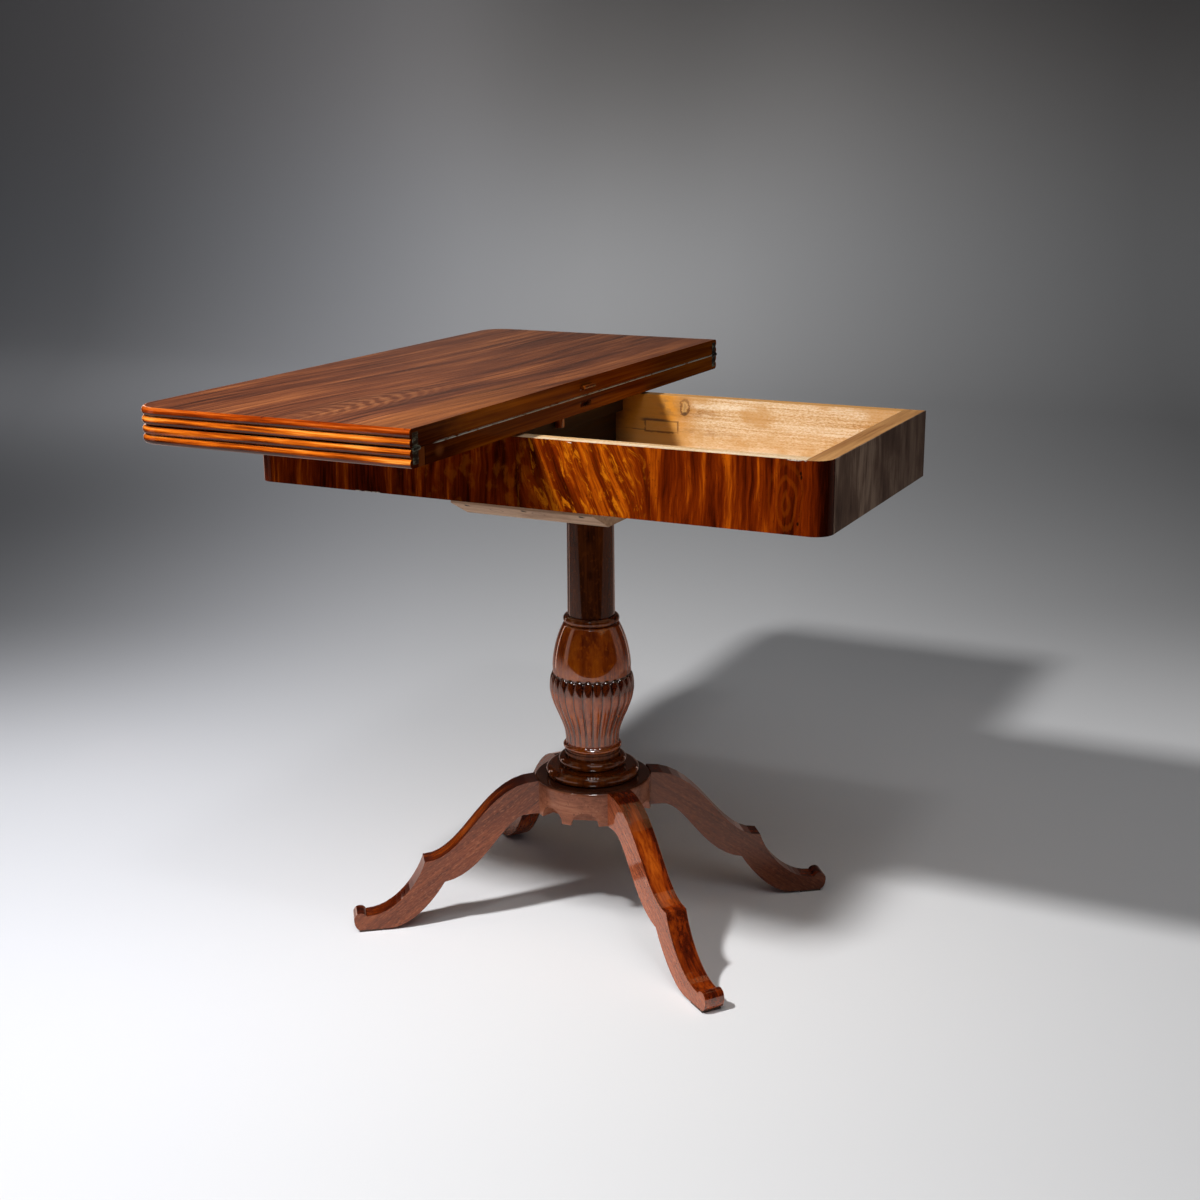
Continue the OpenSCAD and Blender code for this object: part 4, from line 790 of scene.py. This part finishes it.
def vase_sector():
    """One lobe's sector of the vase, from quirk to quirk and from the ring to the neck."""
    across = 12
    step = 2 * math.pi / LOBES
    bm = bmesh.new()
    grid = []
    for radius, z, share in vase_rows():
        line = []
        for i in range(across + 1):
            t = 2 * i / across - 1
            bulge = 1 - math.sqrt(max(0.0, 1 - 0.96 * t * t))
            r = radius - share * LOBE_DEPTH * bulge * radius / LOBE_R
            drop = 0.0
            if share == 1.0 and z > LOBE_BELLY:
                drop = LOBE_ARCH * bulge * (z - LOBE_BELLY) / (LOBE_TOP - LOBE_BELLY)
            a = step * t / 2
            line.append(bm.verts.new((r * math.cos(a) * MM, r * math.sin(a) * MM, (z - drop) * MM)))
        grid.append(line)
    for lower, upper in zip(grid, grid[1:]):
        for i in range(across):
            bm.faces.new((lower[i], lower[i + 1], upper[i + 1], upper[i]))
    bmesh.ops.remove_doubles(bm, verts=bm.verts, dist=1e-7)
    mesh = bpy.data.meshes.new("lobe_sector")
    bm.to_mesh(mesh)
    bm.free()
    made = bpy.data.objects.new("lobe_sector", mesh)
    bpy.context.scene.collection.objects.link(made)
    return made


def ring_tree():
    """Geometry nodes that set a sector round the axis a number of times, joined into one skin."""
    tree = bpy.data.node_groups.new("sectors_in_a_ring", "GeometryNodeTree")
    face = tree.interface
    face.new_socket("Geometry", in_out="INPUT", socket_type="NodeSocketGeometry")
    count = face.new_socket("Number of sectors", in_out="INPUT", socket_type="NodeSocketInt")
    count.default_value = LOBES
    skin = face.new_socket("Finish", in_out="INPUT", socket_type="NodeSocketMaterial")
    face.new_socket("Geometry", in_out="OUTPUT", socket_type="NodeSocketGeometry")
    new, link = tree.nodes.new, tree.links.new
    source, end = new("NodeGroupInput"), new("NodeGroupOutput")
    points = new("GeometryNodePoints")
    link(source.outputs["Number of sectors"], points.inputs["Count"])
    index = new("GeometryNodeInputIndex")
    pitch = new("ShaderNodeMath")
    pitch.operation = "DIVIDE"
    pitch.inputs[0].default_value = 2 * math.pi
    link(source.outputs["Number of sectors"], pitch.inputs[1])
    angle = new("ShaderNodeMath")
    angle.operation = "MULTIPLY"
    link(index.outputs[0], angle.inputs[0])
    link(pitch.outputs[0], angle.inputs[1])
    turn = new("ShaderNodeCombineXYZ")
    link(angle.outputs[0], turn.inputs["Z"])
    copies = new("GeometryNodeInstanceOnPoints")
    link(points.outputs[0], copies.inputs["Points"])
    link(source.outputs["Geometry"], copies.inputs["Instance"])
    link(turn.outputs[0], copies.inputs["Rotation"])
    real = new("GeometryNodeRealizeInstances")
    link(copies.outputs[0], real.inputs[0])
    merged = new("GeometryNodeMergeByDistance")
    merged.inputs["Distance"].default_value = 1e-6
    link(real.outputs[0], merged.inputs["Geometry"])
    smooth = new("GeometryNodeSetShadeSmooth")
    link(merged.outputs[0], smooth.inputs["Geometry"])
    coated = new("GeometryNodeSetMaterial")
    link(smooth.outputs[0], coated.inputs["Geometry"])
    link(source.outputs["Finish"], coated.inputs["Material"])
    link(coated.outputs[0], end.inputs[0])
    return tree, count.identifier, skin.identifier


def lobed_vase(finish):
    """The whole vase: its sector set round the axis by the geometry nodes, as a plain mesh."""
    sector = vase_sector()
    tree, count_id, finish_id = ring_tree()
    ring = sector.modifiers.new("ring", "NODES")
    ring.node_group = tree
    ring[count_id] = LOBES
    ring[finish_id] = finish
    bpy.context.view_layer.update()
    whole = sector.evaluated_get(bpy.context.evaluated_depsgraph_get())
    mesh = bpy.data.meshes.new_from_object(whole)
    mesh.name = "lobed_vase"
    made = bpy.data.objects.new("lobed_vase", mesh)
    bpy.context.scene.collection.objects.link(made)
    bpy.data.objects.remove(sector)
    bm = bmesh.new()
    bm.from_mesh(mesh)
    bmesh.ops.recalc_face_normals(bm, faces=bm.faces)
    bm.to_mesh(mesh)
    bm.free()
    return made


vase = lobed_vase(pillar_polish("polished_vase", (0.12, 0.016, 0.0008), (0.27, 0.044, 0.0016),
                                (0.44, 0.095, 0.003), lobed=True, mirror=2.0))
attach(vase, "stand")
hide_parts("column_vase")


# ---------------------------------------------------------------- floor, light, camera

VIEW_ACROSS, VIEW_AWAY = (0.895, 0.446), (-0.446, 0.895)   # the camera's right and ahead, on plan
FLOOR_GREYS = ((0.0, 0.78), (0.14, 0.78), (0.19, 0.84), (0.25, 0.86), (1.0, 0.86))
FLOOR_SIDES = ((0.0, 1.0), (0.25, 0.94), (0.6, 0.72), (1.0, 0.5))
WALL_GREYS = ((0.0, 1.0), (0.3, 0.68), (0.5, 0.34), (0.62, 0.27), (1.0, 0.27))
WALL_Y, WALL_BEND, WALL_TOP = 4.5, 2.5, 8.0
FLOOR_NEAR, FLOOR_WIDE = -9.0, 12.0
PAPER_END = 1.0     # how far the pale paper shows in the polish, from the pillar to the camera
WARM_POLISH = (1.0, 0.66, 0.54)


def studio_mesh():
    """A floor that curves up into a backdrop."""
    bm = bmesh.new()
    rows = [(FLOOR_NEAR, 0.0)]
    for i in range(17):
        a = math.pi / 2 * i / 16
        rows.append((WALL_Y + WALL_BEND * math.sin(a), WALL_BEND * (1 - math.cos(a))))
    rows.append((WALL_Y + WALL_BEND, WALL_TOP))
    grid = [[bm.verts.new((x, y, z)) for x in (-FLOOR_WIDE, FLOOR_WIDE)] for y, z in rows]
    for lower, upper in zip(grid, grid[1:]):
        bm.faces.new((lower[0], lower[1], upper[1], upper[0]))
    mesh = bpy.data.meshes.new("studio_floor")
    bm.to_mesh(mesh)
    bm.free()
    for face in mesh.polygons:
        face.use_smooth = True
    return mesh


def greys(stops):
    return ((share, (g, g, g)) for share, g in stops)


def studio_paper():
    """Pale paper with painted falloff of light: darker to the sides and up the wall, ending early
    in the polish.
    """
    f = Finish("studio_paper")
    x, y, z = f.split()
    beyond = f.plus(f.times(x, VIEW_AWAY[0]), f.times(y, VIEW_AWAY[1]))
    rightward = f.plus(f.times(x, VIEW_ACROSS[0]), f.times(y, VIEW_ACROSS[1]))
    # the floor's greys and side ramp paint the lamps' falloff: darker on the near side under the
    # key lamp and to the sides
    grey = f.ramp(f.span(beyond, -2.0, 8.0, smooth=False),
                  *((share, (g, g, g * 1.01)) for share, g in FLOOR_GREYS))
    reach = f.plus(f.times(f.larger(beyond, 0.0), 0.2),
                   f.times(f.math("MINIMUM", beyond, 0.0), -0.7))
    offset = f.over(rightward, f.plus(reach, 1.35))
    side = f.ramp(f.math("ABSOLUTE", offset), *greys(FLOOR_SIDES))
    far = f.span(beyond, 0.4, 1.6)
    colour = f.tinted(grey, f.blend(far, (1, 1, 1), side))
    # painted shade on the floor far to the left
    leftward = f.times(f.span(offset, -0.3, -0.95), f.times(far, f.span(beyond, 4.6, 2.4)))
    colour = f.blend(f.times(leftward, 0.42), colour, (0, 0, 0))
    cool = f.times(f.span(offset, 0.1, -0.6), 0.8)
    colour = f.blend(cool, colour, f.tinted(colour, (0.97, 0.985, 1.04)))
    # the wall's greys paint its falloff of light from left to right
    wall = f.ramp(f.span(offset, -1.0, 1.0, smooth=False), *greys(WALL_GREYS))
    colour = f.blend(f.span(z, 0.1, 2.2), colour, f.tinted(colour, wall))
    # painted shade in the middle of the wall
    middle = f.times(f.near(offset, 0.05, 0.08, 0.35), f.span(z, 0.1, 1.4))
    colour = f.blend(f.times(middle, 0.24), colour, (0, 0, 0))
    colour = f.blend(f.span(z, 0.3, 1.6), colour, f.tinted(colour, (1.0, 0.955, 0.92)))
    mirrored = f.add("ShaderNodeLightPath").outputs["Is Glossy Ray"]
    colour = f.blend(mirrored, colour, f.tinted(colour, (1.0, 0.70, 0.59)))
    past = f.span(beyond, -PAPER_END, -PAPER_END - 0.12)
    colour = f.blend(f.times(past, mirrored), colour, (0.012, 0.012, 0.012))
    return f.surface(colour, 0.9, specular=0.1)


def studio():
    """The floor and backdrop round the table."""
    floor = bpy.data.objects.new("studio_floor", studio_mesh())
    floor.data.materials.append(studio_paper())
    bpy.context.scene.collection.objects.link(floor)


def reflector(name, bearings, away, heights, glow, tint=WARM_POLISH):
    """A pale screen bent round the table, which only the polish mirrors."""
    steps = 12
    points = []
    for i in range(steps + 1):
        a = math.radians(bearings[0] + (bearings[1] - bearings[0]) * i / steps)
        points += [(away * math.cos(a), away * math.sin(a), z) for z in heights]
    faces = [(2 * i, 2 * i + 2, 2 * i + 3, 2 * i + 1) for i in range(steps)]
    mesh = bpy.data.meshes.new(name)
    mesh.from_pydata(points, [], faces)
    made = bpy.data.objects.new(name, mesh)
    bpy.context.scene.collection.objects.link(made)
    made.visible_camera = made.visible_diffuse = made.visible_shadow = False
    f = Finish(name)
    light = f.add("ShaderNodeEmission")
    light.inputs["Color"].default_value = (*tint, 1)
    light.inputs["Strength"].default_value = glow
    end = f.add("ShaderNodeOutputMaterial")
    f.tree.links.new(light.outputs[0], end.inputs[0])
    mesh.materials.append(f.material)


def lamp(name, towards, distance, size, power, aim=(0, 0, 0.45)):
    """A soft box that faces its aim, at a bearing and height in degrees seen from there."""
    bearing, height = (math.radians(v) for v in towards)
    way = Vector((math.cos(bearing) * math.cos(height), math.sin(bearing) * math.cos(height),
                  math.sin(height)))
    light = bpy.data.lights.new(name, "AREA")
    light.shape = "RECTANGLE"
    light.size, light.size_y = size
    light.energy = power
    made = bpy.data.objects.new(name, light)
    made.location = Vector(aim) + way * distance
    made.rotation_euler = way.to_track_quat("Z", "Y").to_euler()
    made.visible_camera = False
    bpy.context.scene.collection.objects.link(made)


def soft_world():
    """Faint light from all round, fainter still in the polish."""
    world = bpy.data.worlds.new("soft_light")
    world.use_nodes = True
    sky = world.node_tree.nodes["Background"]
    sky.inputs["Color"].default_value = (0.85, 0.88, 0.95, 1)
    mirrored = world.node_tree.nodes.new("ShaderNodeLightPath").outputs["Is Glossy Ray"]
    dimmed = world.node_tree.nodes.new("ShaderNodeMapRange")
    dimmed.inputs["To Min"].default_value = 0.06
    dimmed.inputs["To Max"].default_value = 0.01
    world.node_tree.links.new(mirrored, dimmed.inputs["Value"])
    world.node_tree.links.new(dimmed.outputs[0], sky.inputs["Strength"])
    bpy.context.scene.world = world


def photograph_camera():
    """The camera of the photograph, worked out from the table's edges."""
    right, up, ahead = ((0.89589, 0.44421, -0.00802), (-0.11343, 0.24615, 0.96257),
                        (-0.42956, 0.86144, -0.27091))
    focal_pixels, photo_pixels, sensor = 1696.4, 1200, 36.0
    data = bpy.data.cameras.new("photograph_camera")
    data.sensor_fit = "HORIZONTAL"
    data.sensor_width = sensor
    data.lens = sensor * focal_pixels / photo_pixels
    data.clip_end = 60
    made = bpy.data.objects.new("photograph_camera", data)
    made.matrix_world = (Matrix.Translation((0.9879, -1.9545, 1.0664))
                         @ Matrix((right, up, [-v for v in ahead])).transposed().to_4x4())
    bpy.context.scene.collection.objects.link(made)
    bpy.context.scene.camera = made


studio()
reflector("left_screen", (-152, -138), 2.2, (0.02, 1.7), 0.6)
reflector("left_line", (165, 170), 1.15, (0.02, 1.2), 2.2)
reflector("right_screen", (16, 46), 2.2, (0.02, 1.7), 0.30)
reflector("right_line", (76, 80), 1.15, (0.02, 0.5), 1.4)
reflector("head_screen", (-73, -54), 1.5, (2.1, 3.1), 40, tint=(1, 1, 1))
lamp("key_box", (-114.8, 48.2), 2.147, (0.17, 0.17), 54)
lamp("head_box", (-63, 62), 3.2, (0.45, 0.16), 6)
lamp("fill_box", (-50, 58), 4.5, (3.0, 3.0), 38)
lamp("backdrop_box", (-63, 50), 3.2, (2.0, 1.0), 26, aim=(-3.9, 5.6, 0.5))
soft_world()
bpy.context.scene.view_settings.view_transform = "Standard"
photograph_camera()
